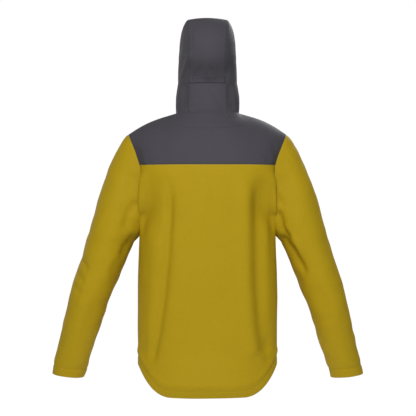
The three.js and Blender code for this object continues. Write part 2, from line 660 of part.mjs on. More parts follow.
function sleeveOutward(p, t, side) {
  const ring = sleeveRing(t);
  const place = mirrored(p);
  const out = place.clone().sub(ring.centre);
  out.x += ring.scoop;
  out.normalize();
  out.lerp(bodyOutward(place), nearness(place, loops.armhole)).normalize();
  out.x *= side;
  return out;
}
const CAP_END = FAN * 0.55;
const armTotal = UPPER_ARM + FOREARM;
const elbowShare = (offset) => FAN + ((1 - FAN) * (UPPER_ARM + offset)) / armTotal;
const ELBOW_HALF = 68; // half the length of the stretch that bends
const ROUND = 14; // facets round a sleeve
const stretches = [
  ["sleeve_cap", 0, CAP_END, 3],
  ["sleeve_upper", CAP_END, elbowShare(-ELBOW_HALF), 4],
  ["sleeve_elbow", elbowShare(-ELBOW_HALF), elbowShare(ELBOW_HALF), 3],
  ["sleeve_lower", elbowShare(ELBOW_HALF), 1, 3],
];
const cuffHemShare = ((1 - FAN) * CUFF_HEM) / armTotal;
for (const [name, side] of SIDES) {
  const direction = (from, to) => (p, u, v) => sleeveOutward(p, mix(from, to, v), side);
  const tube = (label, from, to, rows, near, far, finish) => {
    const at = onSide(trimmed(part(sleeve, 0, 1, from, to), "both"), side);
    return piece(`${label}_${name}`, sheet(at, ROUND, rows, direction(from, to), near, far, true), finish);
  };
  for (const [label, from, to, rows] of stretches) {
    const mesh = tube(label, from, to, rows, 0, FABRIC, "shell");
    const beside = [`front_panel_${name}`, `front_yoke_${name}`, "back_panel", "back_yoke"];
    if (from < FAN) mesh.geometry = clearOf(mesh.geometry, ...beside);
  }
  tube("cuff_facing", 1 - cuffHemShare, 1, 1, ...inside, "lining");
}

// ---- Front zip, in a frame that leans with the front edge: x across, y into the jacket, z up the zip

const block = (x0, x1, y0, y1, z0, z1) =>
  new THREE.BoxGeometry(x1 - x0, y1 - y0, z1 - z0).translate((x0 + x1) / 2, (y0 + y1) / 2, (z0 + z1) / 2);
const outline = (points) => new THREE.Shape(points.map(([x, y]) => new THREE.Vector2(x, y)));
const zip = new THREE.Group();
zip.position.set(0, COLLAR_FRONT_Y, COLLAR_TOP);
zip.rotation.x = -ZIP_LEAN;
jacket.add(zip);
zip.updateMatrixWorld(true);
const frontPieces = ["front_panel", "front_yoke", "chin_panel"];
const besideZip = SIDES.flatMap(([name]) => frontPieces.map((label) => `${label}_${name}`));
const laidBehindZip = (geometry) => clearOf(geometry.applyMatrix4(zip.matrixWorld), ...besideZip);
const zipLength = (COLLAR_TOP - frontHem(0)) / Math.cos(ZIP_LEAN);
const beadIn = POST + SEAM;
const beadOut = beadIn + BEAD_WIDTH;
const beadFront = -1.1;
const beadBack = beadFront + BEAD_DEPTH;
const tapeFront = FABRIC + LAY + 0.3;
const tapeBack = tapeFront + LINING;
const STOP = 3.5; // length of a top stop
const BOX = 12.5; // length of the box at the bottom
const beadTop = -1.5 - STOP - SEAM;
const boxTop = -zipLength + 1 + BOX;
for (const [name, side] of SIDES) {
  const mirrorBlock = (x0, x1, ...rest) => (side > 0 ? block(x0, x1, ...rest) : block(-x1, -x0, ...rest));
  const add = (label, geometry, finish) => piece(`${label}_${name}`, geometry, finish, zip);
  const tapeIn = beadOut + SEAM;
  const tape = mirrorBlock(tapeIn, tapeIn + TAPE_WIDTH, tapeFront, tapeBack, -zipLength + 3, -1);
  piece(`zip_tape_${name}`, laidBehindZip(tape), "zipTape");
  add("zip_teeth", mirrorBlock(beadIn, beadOut, beadFront, beadBack, boxTop + SEAM, beadTop), "teeth");
  add("zip_stop", mirrorBlock(beadIn, beadOut, beadFront - 0.5, beadBack, -1.5 - STOP, -1.5), "metal");
}
const boxSize = [beadFront - 0.5, beadBack, boxTop - BOX, boxTop];
piece("zip_box", block(-ZIP_REVEAL + SEAM, -SEAM / 2, ...boxSize), "grip", zip);
piece("zip_pin", block(SEAM / 2, beadOut, beadFront, beadBack, boxTop - BOX, boxTop), "metal", zip);
const flapFront = tapeBack + SEAM;
const flapFold = outline([
  [-13, flapFront + 0.8],
  [-13, flapFront + 1.8],
  [beadOut + TAPE_WIDTH, flapFront + 1.8],
  [beadOut + TAPE_WIDTH, flapFront],
  [beadOut + TAPE_WIDTH - 6, flapFront],
  [beadOut + TAPE_WIDTH - 6, flapFront + 0.8],
]);
const flap = new THREE.ExtrudeGeometry(flapFold, { depth: zipLength - 12, bevelEnabled: false });
piece("storm_flap", laidBehindZip(flap.translate(0, 0, -zipLength + 6)), "lining");

// A slider's face plate and the bridge that its pull hangs from, with the plate's inner face at y = face.
const BRIDGE_HALF = 1.3;
const BRIDGE_RISE = 4.4;
const EYE = SLIDER_LENGTH * 0.45; // from the slider's top down to the pull's axis
const pullAxis = (face) => face - PLATE - 1.5;
function sliderTop(face) {
  const plate = block(-SLIDER_HALF_WIDTH, SLIDER_HALF_WIDTH, face - PLATE, face, -SLIDER_LENGTH, 0);
  const legs = [EYE - 4.2, EYE + 3].map((z) =>
    block(-BRIDGE_HALF, BRIDGE_HALF, face - PLATE - BRIDGE_RISE, face - PLATE + 0.5, -z - 1.2, -z));
  const arch = block(-BRIDGE_HALF, BRIDGE_HALF, face - PLATE - BRIDGE_RISE, face - PLATE - BRIDGE_RISE + 1.4,
    -EYE - 4.2, -EYE + 4.2);
  return [plate, ...legs, arch];
}
// The pull: a ring round the bridge and a tab, hanging from its axis, and the moulded grip under it.
const PULL_HALF = 3.6;
const PULL_THICK = 1.2;
function pullPlate() {
  const [low, high] = [-PULL_LENGTH, 0.6];
  const shape = outline([[-PULL_HALF, low], [PULL_HALF, low], [PULL_HALF, high], [-PULL_HALF, high]]);
  const hole = BRIDGE_HALF + 0.7;
  shape.holes.push(outline([[-hole, -0.6], [hole, -0.6], [hole, -7], [-hole, -7]]));
  const plate = new THREE.ExtrudeGeometry(shape, { depth: PULL_THICK, bevelEnabled: false });
  return plate.rotateX(Math.PI / 2).translate(0, PULL_THICK / 2, 0);
}
const pullGrip = () => block(-4.2, 4.2, -1.2, 1.2, -PULL_LENGTH - GRIP_LENGTH, -PULL_LENGTH - SEAM);
function hangPull(label, parent, face, z, grip) {
  const hanger = new THREE.Group();
  hanger.position.set(0, pullAxis(face), z - EYE);
  parent.add(hanger);
  piece(`${label}_pull`, pullPlate(), "metal", hanger);
  if (grip) piece(`${label}_pull_grip`, pullGrip(), "grip", hanger);
}
const SLIDER_TOP = -6; // the closed slider, below the collar's top edge
const zipFace = beadFront - SEAM;
const post = block(-POST, POST, zipFace - 0.5, beadBack + SEAM + 0.5, -SLIDER_LENGTH, 0);
const backPlate = block(-beadOut, beadOut, beadBack + SEAM, beadBack + SEAM + 1.4, -SLIDER_LENGTH, 0);
const [face, ...bridge] = sliderTop(zipFace);
const slider = piece("zip_slider", join(face, ...bridge, post, backPlate), "metal", zip);
slider.position.z = SLIDER_TOP;
hangPull("zip", zip, zipFace, SLIDER_TOP, true);

// ---- Fronts, with their hand pockets

const frontShare = (z, u) => (LOWER_SHARE * (z - frontHem(u))) / (underarmZ - frontHem(u));
const pocketEnd = (z) => frontPanel(POCKET_ACROSS, frontShare(z, POCKET_ACROSS));
const frontHemShare = (LOWER_SHARE * HEM) / (underarmZ - sideHem);
const facet = 1 / FRONT_COLUMNS;
const BAND_HALF = 8; // half the width of a pocket zip's tape
const SLIT_HALF = 3.6; // half the width of the mouth behind the zip
const SLIT_END = 8; // the mouth stops this far inside each end of its zip
const COIL_HALF = 2;
const RAIL = 1.2; // thickness of the slider's lips beside the coil
const bandBack = -LAY - 0.4;
const bandFront = bandBack - 0.9;
const coilFront = bandFront - 1.2;
for (const [name, side] of SIDES) {
  const hem = onSide(part(frontFacets, facet, 1 - facet, 0.004, frontHemShare), side);
  piece(`hem_facing_front_${name}`, sheet(hem, FRONT_COLUMNS - 2, 1, torsoDirection, ...inside), "lining");

  // The pocket's frame: its upper end, up along the mouth, and y into the jacket.
  const top = pocketEnd(POCKET_TOP);
  const up = top.clone().sub(pocketEnd(POCKET_TOP - POCKET_ZIP)).normalize();
  const beside = frontPanel(POCKET_ACROSS + 0.02, frontShare(POCKET_TOP, POCKET_ACROSS)).sub(top);
  const inward = up.clone().cross(beside).normalize();
  const frame = new THREE.Group();
  const across = inward.clone().cross(up).normalize();
  for (const way of [top, up, inward, across]) way.x *= side;
  if (side < 0) across.negate();
  frame.position.copy(top);
  frame.setRotationFromMatrix(new THREE.Matrix4().makeBasis(across, inward, up));
  jacket.add(frame);
  frame.updateMatrixWorld(true);
  const slit = block(-SLIT_HALF, SLIT_HALF, -4, FABRIC + LAY + 4, -POCKET_ZIP + SLIT_END, -SLIT_END);
  slit.applyMatrix4(frame.matrixWorld);

  const panelMesh = jacket.getObjectByName(`front_panel_${name}`);
  panelMesh.geometry = cut(panelMesh.geometry, slit);
  const bagLow = frontShare(POCKET_TOP + 10 - POCKET_DEEP, POCKET_ACROSS);
  const bagHigh = frontShare(POCKET_TOP + 10, POCKET_ACROSS);
  const bag = (wall) => {
    const [du, dv] = [wall * 0.005, wall * 0.0015];
    const at = part(frontFacets, facet + du, 5 * facet - du, bagLow + dv, bagHigh - dv);
    return sheet(onSide(at, side), 4, 3, torsoDirection, inside[0] + wall, inside[0] + POCKET_ROOM - wall);
  };
  piece(`pocket_bag_${name}`, clearOf(cut(bag(0), bag(0.9), slit), `front_panel_${name}`), "lining");

  const band = new THREE.ExtrudeGeometry(
    outline([
      [-BAND_HALF, bandBack],
      [-BAND_HALF, bandFront],
      [-COIL_HALF, bandFront],
      [-COIL_HALF, coilFront],
      [COIL_HALF, coilFront],
      [COIL_HALF, bandFront],
      [BAND_HALF, bandFront],
      [BAND_HALF, bandBack],
    ]),
    { depth: POCKET_ZIP, bevelEnabled: false },
  );
  piece(`pocket_zip_${name}`, band.translate(0, 0, -POCKET_ZIP), "zipTape", frame);
  const pocketFace = coilFront - SEAM;
  const rail = COIL_HALF + SEAM;
  const rails = [rail, -rail - RAIL].map((x) =>
    block(x, x + RAIL, pocketFace - 0.5, bandFront - SEAM, -SLIDER_LENGTH, 0));
  const [plate, ...rest] = sliderTop(pocketFace);
  const pocketSlider = piece(`pocket_slider_${name}`, join(plate, ...rest, ...rails), "metal", frame);
  pocketSlider.position.z = -4;
  hangPull(`pocket_${name}`, frame, pocketFace, -4, false);
}

export default jacket;
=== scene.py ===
import math

import bmesh
import bpy
import numpy as np
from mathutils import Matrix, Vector
from mathutils.bvhtree import BVHTree
from mathutils.noise import noise


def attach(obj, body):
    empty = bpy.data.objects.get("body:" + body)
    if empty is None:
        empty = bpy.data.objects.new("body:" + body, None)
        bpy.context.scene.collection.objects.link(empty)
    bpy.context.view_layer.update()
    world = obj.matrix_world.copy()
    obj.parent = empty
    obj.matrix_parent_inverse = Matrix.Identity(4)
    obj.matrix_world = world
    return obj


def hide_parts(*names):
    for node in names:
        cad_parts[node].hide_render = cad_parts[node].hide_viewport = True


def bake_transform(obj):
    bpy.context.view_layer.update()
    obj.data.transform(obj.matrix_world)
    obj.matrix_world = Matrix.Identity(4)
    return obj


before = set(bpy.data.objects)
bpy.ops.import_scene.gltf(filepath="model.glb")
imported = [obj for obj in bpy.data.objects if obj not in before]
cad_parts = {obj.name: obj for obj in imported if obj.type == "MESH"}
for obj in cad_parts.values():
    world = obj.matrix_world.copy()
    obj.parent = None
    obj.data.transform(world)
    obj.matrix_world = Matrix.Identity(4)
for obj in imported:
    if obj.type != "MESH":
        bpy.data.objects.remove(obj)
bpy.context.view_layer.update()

# ---- Studio: a round pale floor in an all-white room, lit by a soft lamp above the camera
# The jacket hangs clear of the floor and the camera looks level at its back. Two more lamps light its front.
CAMERA_DISTANCE, CAMERA_HEIGHT, SENSOR, LENS, LENS_SHIFT = 3.0, -0.2607, 36, 95.6, 0.0012
FLOOR_RADIUS, FLOOR_HEIGHT, FLOOR_GREY = 2.1, -1.25, 0.9
ROOM_LIGHT, ROOM_SEEN = 0.24, 1.02
KEY_LAMP = ((0.2, 2.9, 1.5), 0.8, 74)
FRONT_LAMP = ((-1.2, -2.4, 1.5), 1.2, 55)
LOW_LAMP = ((1.6, -2.0, 0.2), 1.6, 14)
LAMP_AIM = Vector((0, 0, -0.3))
camera = bpy.data.objects.new("camera", bpy.data.cameras.new("camera"))
bpy.context.collection.objects.link(camera)
camera.location = (0, CAMERA_DISTANCE, CAMERA_HEIGHT)
camera.rotation_euler = (math.radians(90), 0, math.pi)
camera.data.sensor_width = SENSOR
camera.data.lens = LENS
camera.data.shift_x = LENS_SHIFT
bpy.context.scene.camera = camera
bpy.context.scene.view_settings.view_transform = "Standard"
paper = bpy.data.materials.new("paper")
paper.use_nodes = True
paper_shader = paper.node_tree.nodes["Principled BSDF"]
paper_shader.inputs["Base Color"].default_value = (FLOOR_GREY, FLOOR_GREY, FLOOR_GREY, 1)
paper_shader.inputs["Roughness"].default_value = 0.9
disc = bmesh.new()
bmesh.ops.create_circle(disc, cap_ends=True, segments=96, radius=FLOOR_RADIUS)
bmesh.ops.translate(disc, verts=disc.verts, vec=(0, 0, FLOOR_HEIGHT))
floor_mesh = bpy.data.meshes.new("floor")
disc.to_mesh(floor_mesh)
floor_mesh.materials.append(paper)
floor = bpy.data.objects.new("floor", floor_mesh)
bpy.context.collection.objects.link(floor)
room = bpy.data.worlds.new("white room")
bpy.context.scene.world = room
room.use_nodes = True
wall = room.node_tree.nodes["Background"]
wall.inputs["Color"].default_value = (1, 1, 1, 1)
seen = room.node_tree.nodes.new("ShaderNodeLightPath")
strength = room.node_tree.nodes.new("ShaderNodeMapRange")
strength.inputs["To Min"].default_value = ROOM_LIGHT
strength.inputs["To Max"].default_value = ROOM_SEEN
room.node_tree.links.new(seen.outputs["Is Camera Ray"], strength.inputs["Value"])
room.node_tree.links.new(strength.outputs["Result"], wall.inputs["Strength"])
for place, size, power in (KEY_LAMP, FRONT_LAMP, LOW_LAMP):
    lamp = bpy.data.objects.new("softbox", bpy.data.lights.new("softbox", "AREA"))
    lamp.data.size = size
    lamp.data.energy = power
    lamp.location = place
    lamp.rotation_euler = (LAMP_AIM - Vector(place)).to_track_quat("-Z", "Y").to_euler()
    bpy.context.collection.objects.link(lamp)

# ---- Cut lines: the seams that the panels share, drawn as a pattern cutter draws them
# Every panel takes its edges from these lines, so that neighbours meet along one seam.
BACK_LENGTH, TAIL_DROP, HALF_CHEST, BLADE_DEPTH = 770, 76, 195, 62
YOKE_DROP, FRONT_YOKE_DROP, FRONT_YOKE_SIDE_DROP, FRONT_HEM_DIP = 144, 165, 140, 9
SHOULDER_X, SHOULDER_DROP, SHOULDER_ARCH, SEAM_LINE_Y = 219, 57, 8, -76
NECK_HALF_WIDTH, NECK_SIDE_Y, NECK_SIDE_Z, FRONT_NECK_DROP = 87, -65, 3, 70
COLLAR_TOP, COLLAR_FRONT_Y, ZIP_SLOPE, ZIP_REVEAL = 22, -172, 0.068, 5
ARMHOLE_HEIGHT, ARMHOLE_HALF_DEPTH, ARMHOLE_SCOOP, UNDERARM_X = 223, 64, 11, 160


def mix(a, b, t):
    return a + (b - a) * t


def smooth(x, low, high):
    t = np.clip((np.asarray(x, float) - low) / (high - low), 0, 1)
    return t * t * (3 - 2 * t)


def points(x, y, z):
    return np.stack(np.broadcast_arrays(*[np.asarray(c, float) for c in (x, y, z)]), -1)


def column(t):
    return np.asarray(t, float)[..., None]


def bezier(a, b, c, d, t):
    t = column(t)
    return a * (1 - t) ** 3 + 3 * b * t * (1 - t) ** 2 + 3 * c * t * t * (1 - t) + d * t**3


def profile(pairs):
    height, value = np.array(pairs, float).T
    slope = np.gradient(value, height)
    slope[1:-1] = (value[2:] - value[:-2]) / (height[2:] - height[:-2])

    def read(at):
        at = np.clip(at, height[0], height[-1])
        i = np.clip(np.searchsorted(height, at) - 1, 0, len(height) - 2)
        span = height[i + 1] - height[i]
        k = (at - height[i]) / span
        rise = (1 - k) * slope[i] * span - k * slope[i + 1] * span
        return mix(value[i], value[i + 1], k * k * (3 - 2 * k)) + k * (1 - k) * rise

    return read


def coons(bottom, top, start, end):
    def at(u, v):
        u, v = np.broadcast_arrays(np.asarray(u, float), np.asarray(v, float))
        cu, cv = column(u), column(v)
        zero, one = np.zeros_like(u), np.ones_like(u)
        corners = (bottom(zero) * (1 - cu) + bottom(one) * cu) * (1 - cv)
        corners = corners + (top(zero) * (1 - cu) + top(one) * cu) * cv
        return bottom(u) * (1 - cv) + top(u) * cv + start(v) * (1 - cu) + end(v) * cu - corners

    return at


underarm_z = -SHOULDER_DROP - ARMHOLE_HEIGHT
armhole_up = np.array([SHOULDER_X - UNDERARM_X, 0, ARMHOLE_HEIGHT], float)
armhole_half = np.linalg.norm(armhole_up) / 2
armhole_up /= 2 * armhole_half
armhole_out = np.array([armhole_up[2], 0, -armhole_up[0]])
armhole_centre = np.array([(SHOULDER_X + UNDERARM_X) / 2, SEAM_LINE_Y, underarm_z + ARMHOLE_HEIGHT / 2])


def armhole(angle):
    s, c = np.sin(angle), np.cos(angle)
    return armhole_centre + armhole_half * column(c) * armhole_up + points(
        -ARMHOLE_SCOOP * s**2, ARMHOLE_HALF_DEPTH * s, 0 * s)


def armhole_angle(z):
    return math.acos((z - armhole_centre[2]) / armhole_up[2] / armhole_half)


def front_y(z):
    return COLLAR_FRONT_Y - (COLLAR_TOP - z) * ZIP_SLOPE


neck_side = np.array([NECK_HALF_WIDTH, NECK_SIDE_Y, NECK_SIDE_Z], float)
neck_front = np.array([ZIP_REVEAL, front_y(-FRONT_NECK_DROP), -FRONT_NECK_DROP])


def back_neck(t):
    square_out = np.array([NECK_HALF_WIDTH * 0.55, 0, 0])
    square_in = np.array([NECK_HALF_WIDTH, NECK_SIDE_Y * 0.4, NECK_SIDE_Z])
    return bezier(np.zeros(3), square_out, square_in, neck_side, t)


def front_neck(t):
    down = np.array([NECK_HALF_WIDTH, NECK_SIDE_Y - 42, -12])
    across = np.array([NECK_HALF_WIDTH * 0.95, neck_front[1], neck_front[2]])
    return bezier(neck_side, down, across, neck_front, t)


def shoulder_seam(t):
    line = mix(neck_side, armhole(0.0), column(t))
    return line + points(0 * t, 0 * t, SHOULDER_ARCH * np.sin(np.pi * t))


def side_x(z):
    return mix(UNDERARM_X, HALF_CHEST - 2, smooth(underarm_z - z, 0, 130))


back_y = profile([
    (-BACK_LENGTH, BLADE_DEPTH - 12),
    (-BACK_LENGTH + 25, BLADE_DEPTH),
    (-BACK_LENGTH + 50, BLADE_DEPTH),
    (-BACK_LENGTH + 130, BLADE_DEPTH - 14),
    (-YOKE_DROP - 106, BLADE_DEPTH),
    (-YOKE_DROP, BLADE_DEPTH - 4),
    (-41, BLADE_DEPTH * 0.35),
    (0, 0),
])


def level_line(u, middle, edge, forward):
    slack = 2.4 * np.maximum(0, HALF_CHEST - edge[..., 0]) * smooth(underarm_z - edge[..., 2], 0, 60)
    first = middle + points(HALF_CHEST * 0.66, forward, 0)
    second = points(edge[..., 0] + slack, mix(edge[..., 1], middle[..., 1], 0.52), edge[..., 2])
    place = bezier(middle, first, second, edge, u)
    place[..., 2] = mix(middle[..., 2], edge[..., 2], u * u)
    return place


def body_outward(p):
    way = points(0.3 * p[..., 0], p[..., 1] - SEAM_LINE_Y, np.maximum(0, p[..., 2] + SHOULDER_DROP * 2))
    return way / np.linalg.norm(way, axis=-1, keepdims=True)


# ---- Shell: back, fronts, yokes, sleeves and hood sewn into one garment
# Three-layer laminate, sewn and taped. Each panel is a net of small squares whose edges fall on the seams.
LOWER_SHARE, NECK_SHARE, CHIN_SEAM, FOLD, CORNER = 0.75, 0.4, 0.35, 0.3, 0.56
side_hem = -BACK_LENGTH + TAIL_DROP
back_yoke_angle, front_yoke_angle = armhole_angle(-YOKE_DROP), armhole_angle(-FRONT_YOKE_SIDE_DROP)


def side_edge(z):
    return points(side_x(z), SEAM_LINE_Y, z)


def middle_back(z):
    return points(0, back_y(z), z)


def middle_front(z):
    return points(ZIP_REVEAL, front_y(z), z)


def torso_panel(hem, middle, forward, yoke_z, yoke_angle, turn):
    def at(u, v):
        u, v = np.broadcast_arrays(np.asarray(u, float), np.asarray(v, float))
        z = mix(hem(u), underarm_z, v / LOWER_SHARE)
        low = level_line(u, middle(z), side_edge(z), forward)
        t = (v - LOWER_SHARE) / (1 - LOWER_SHARE)
        edge = armhole(turn * mix(np.pi, yoke_angle, t))
        high = level_line(u, middle(mix(underarm_z, yoke_z, t)), edge, forward)
        return np.where(column(v <= LOWER_SHARE), low, high)

    return at


def crowned(at, height):
    def raised(u, v):
        p = at(u, v)
        return p + body_outward(p) * column(height * np.sin(np.pi * u) * np.sin(np.pi * v))

    return raised


def yoke_top(neck):
    def line(u):
        on_neck = neck(np.clip(u / NECK_SHARE, 0, 1))
        on_shoulder = shoulder_seam(np.clip((u - NECK_SHARE) / (1 - NECK_SHARE), 0, 1))
        return np.where(column(u < NECK_SHARE), on_neck, on_shoulder)

    return line


CHEST, BACK_YOKE_CROWN, FRONT_YOKE_CROWN = 14, 15, 12
back_panel = torso_panel(lambda u: mix(-BACK_LENGTH, side_hem, smooth(u, 0.3, 0.9)), middle_back, 0,
                         -YOKE_DROP, back_yoke_angle, 1)
front_panel = torso_panel(lambda u: side_hem - FRONT_HEM_DIP * (1 - u), middle_front, -CHEST,
                          -FRONT_YOKE_DROP, front_yoke_angle, -1)
back_yoke = crowned(coons(lambda u: back_panel(u, 1.0), yoke_top(back_neck),
                          lambda v: middle_back(mix(-YOKE_DROP, 0, v)),
                          lambda v: armhole(mix(back_yoke_angle, 0, v))), BACK_YOKE_CROWN)
front_yoke = crowned(coons(lambda u: front_panel(u, 1.0), yoke_top(lambda t: front_neck(1 - t)),
                           lambda v: middle_front(mix(-FRONT_YOKE_DROP, -FRONT_NECK_DROP, v)),
                           lambda v: armhole(-mix(front_yoke_angle, 0, v))), FRONT_YOKE_CROWN)


def run_along(line):
    """The running length down a line of points, or down every column of a net."""
    steps = np.linalg.norm(np.diff(line, axis=0), axis=-1)
    return np.concatenate([np.zeros_like(steps[:1]), np.cumsum(steps, axis=0)])


def curve_through(knots):
    """A smooth curve through the knots: its points, directions and running lengths."""
    knots = np.array(knots, float)
    ends = np.vstack([2 * knots[0] - knots[1], knots, 2 * knots[-1] - knots[-2]])
    line = []
    for p0, p1, p2, p3 in zip(ends, ends[1:], ends[2:], ends[3:]):
        d0, d1, d2 = (np.sqrt(np.linalg.norm(b - a)) for a, b in ((p0, p1), (p1, p2), (p2, p3)))
        t1 = ((p1 - p0) / d0 - (p2 - p0) / (d0 + d1) + (p2 - p1) / d1) * d1
        t2 = ((p2 - p1) / d1 - (p3 - p1) / (d1 + d2) + (p3 - p2) / d2) * d1
        t = column(np.linspace(0, 1, 40, endpoint=False))
        square = -3 * p1 + 3 * p2 - 2 * t1 - t2
        cube = 2 * p1 - 2 * p2 + t1 + t2
        line.append(p1 + t1 * t + square * t**2 + cube * t**3)
    line = np.vstack(line + [knots[-1:]])
    run = run_along(line)

    def at(t):
        return points(*[np.interp(np.asarray(t) * run[-1], run, c) for c in line.T])

    def way(t):
        d = at(np.minimum(np.asarray(t) + 0.004, 1)) - at(np.maximum(np.asarray(t) - 0.004, 0))
        return d / np.linalg.norm(d, axis=-1, keepdims=True)

    return at, way


HOOD_TOP, HOOD_HALF_WIDTH, HOOD_STRIP_HALF, CROWN = 266, 74, 55, 13
hood_middle, hood_way = curve_through([
    (0, 0, 0), (0, -4, HOOD_TOP * 0.17), (0, -8, HOOD_TOP * 0.36),
    (0, 22, HOOD_TOP * 0.56), (0, 16, HOOD_TOP * 0.8), (0, -32, HOOD_TOP * 0.975),
    (0, -100, HOOD_TOP), (0, -165, HOOD_TOP * 0.975), (0, -212, HOOD_TOP * 0.92),
])
neck_run = np.linspace(0, 1, 501)
seam_start = float(np.interp(HOOD_STRIP_HALF, back_neck(neck_run)[:, 0], neck_run))


def strip_seam(t):
    way = hood_way(t)
    crown = CROWN * (1 - 0.72 * smooth(t, 0.5, 0.75))
    p = hood_middle(t) + points(HOOD_STRIP_HALF, -way[..., 2] * crown, way[..., 1] * crown)
    first = hood_way(0.0)
    start = np.array([HOOD_STRIP_HALF, -first[2] * CROWN, first[1] * CROWN])
    return p + column(1 - smooth(t, 0, 0.15)) * (back_neck(seam_start) - start)


def strip(u, v):
    u, v = np.broadcast_arrays(np.asarray(u, float), np.asarray(v, float))
    seam, middle = strip_seam(v), hood_middle(v)
    on_neck = back_neck(np.interp(u * HOOD_STRIP_HALF, back_neck(neck_run)[:, 0], neck_run))
    start = points(HOOD_STRIP_HALF * u, back_neck(seam_start)[1] * u * u, back_neck(seam_start)[2] * u * u)
    bowed = [mix(middle[..., k], seam[..., k], u * u) for k in (1, 2)]
    p = points(seam[..., 0] * u, *bowed)
    return p + column(1 - smooth(v, 0, 0.12)) * (on_neck - start)


cheek = np.array([56, COLLAR_FRONT_Y - 6, COLLAR_TOP + 42], float)
brow = strip_seam(1.0)


def face_edge(v):
    low = mix(front_neck(CHIN_SEAM), cheek, column(np.clip(v / FOLD, 0, 1)))
    above_cheek = np.array([74, cheek[1], cheek[2] + 50])
    below_brow = np.array([72, brow[1] + 6, brow[2] - 36])
    high = bezier(cheek, above_cheek, below_brow, brow, np.clip((v - FOLD) / (1 - FOLD), 0, 1))
    return np.where(column(v < FOLD), low, high)


SIDE_NECK_SHARE = 0.4


def side_neck(u):
    back = back_neck(mix(seam_start, 1, np.clip(u / SIDE_NECK_SHARE, 0, 1)))
    front = front_neck(np.clip((u - SIDE_NECK_SHARE) / (1 - SIDE_NECK_SHARE), 0, 1) * CHIN_SEAM)
    return np.where(column(u < SIDE_NECK_SHARE), back, front)


side_patch = coons(side_neck, lambda u: strip_seam(mix(CORNER, 1, u)),
                   lambda v: strip_seam(v * CORNER), face_edge)


def hood_side(u, v):
    p = side_patch(u, v)
    fullness = (HOOD_HALF_WIDTH - HOOD_STRIP_HALF) * np.sin(np.pi * u) ** 0.8
    p[..., 0] += fullness * np.sin(np.pi * v) ** 0.8
    return p


def collar_top(u):
    beside_cheek = np.array([44, cheek[1] - 6, cheek[2] - 24])
    beside_zip = np.array([26, COLLAR_FRONT_Y - 5, COLLAR_TOP + 1])
    return bezier(cheek, beside_cheek, beside_zip, middle_front(COLLAR_TOP), u)


chin_panel = coons(lambda u: front_neck(mix(CHIN_SEAM, 1, u)), collar_top, lambda v: face_edge(v * FOLD),
                   lambda v: middle_front(mix(-FRONT_NECK_DROP, COLLAR_TOP, v)))

UPPER_ARM, FOREARM, UPPER_SPREAD, FOREARM_SPREAD, FOREARM_BEND, FAN = 190, 244, 0.35, 0.29, 0.28, 0.3
BICEP_HALF_WIDTH, BICEP_HALF_DEPTH, CUFF_HALF_WIDTH, CUFF_HALF_DEPTH = 64, 76, 45, 49
bicep = np.array([UNDERARM_X + 105, SEAM_LINE_Y - 4, underarm_z - 52], float)
upper_way = np.array([math.sin(UPPER_SPREAD), -0.03, -math.cos(UPPER_SPREAD)])
elbow = bicep + upper_way * UPPER_ARM
forearm_way = np.array([math.sin(FOREARM_SPREAD), -math.sin(FOREARM_BEND), -math.cos(FOREARM_BEND)])
forearm_way /= np.linalg.norm(forearm_way)
cuff = elbow + forearm_way * FOREARM
forearm_middle = mix(elbow, cuff, 0.5) + [0, 3, 0]
arm_line, arm_way = curve_through([bicep, mix(bicep, elbow, 0.5), elbow, forearm_middle, cuff])
bicep_across = np.array([math.cos(UPPER_SPREAD), 0, math.sin(UPPER_SPREAD)])
deltoid = np.array([SHOULDER_X + 50, SEAM_LINE_Y, -SHOULDER_DROP - 42], float)
gusset = np.array([UNDERARM_X + 8, SEAM_LINE_Y, underarm_z - 38], float)


def arc(a, b, c, t):
    return a * (1 - t) ** 2 + 2 * b * t * (1 - t) + c * t * t


def sleeve_ring(t, angle):
    """One ring of the sleeve: fanned out from the armhole to the bicep, then square to the arm."""
    if t <= FAN:
        k = t / FAN
        outer = arc(armhole(0.0), deltoid, bicep + bicep_across * BICEP_HALF_WIDTH, k)
        inner = arc(armhole(np.pi), gusset, bicep - bicep_across * BICEP_HALF_WIDTH, k)
        centre, across = (outer + inner) / 2, outer - inner
        half_width, scoop = np.linalg.norm(across) / 2, ARMHOLE_SCOOP * (1 - smooth(k, 0, 0.8))
        half_depth, back = mix(ARMHOLE_HALF_DEPTH, BICEP_HALF_DEPTH, smooth(k, 0, 1)), np.array([0, 1.0, 0])
    else:
        k = (t - FAN) / (1 - FAN)
        centre, way = arm_line(k), arm_way(k)
        across = np.cross(way, [0, 1, 0])
        half_width, scoop = mix(BICEP_HALF_WIDTH, CUFF_HALF_WIDTH, k**0.9), 0
        half_depth = mix(BICEP_HALF_DEPTH, CUFF_HALF_DEPTH, k**0.9)
        across /= np.linalg.norm(across)
        back = mix(np.cross(across, way), np.array([0, 1.0, 0]), smooth(k, 0.7, 1))
        across = across * [1, 1, 1 - 0.6 * smooth(k, 0.75, 1)]
    across = across / np.linalg.norm(across)
    ring = centre + column(half_width * np.cos(angle)) * across + column(half_depth * np.sin(angle)) * back
    return ring + points(-scoop * np.sin(angle) ** 2, 0, 0)


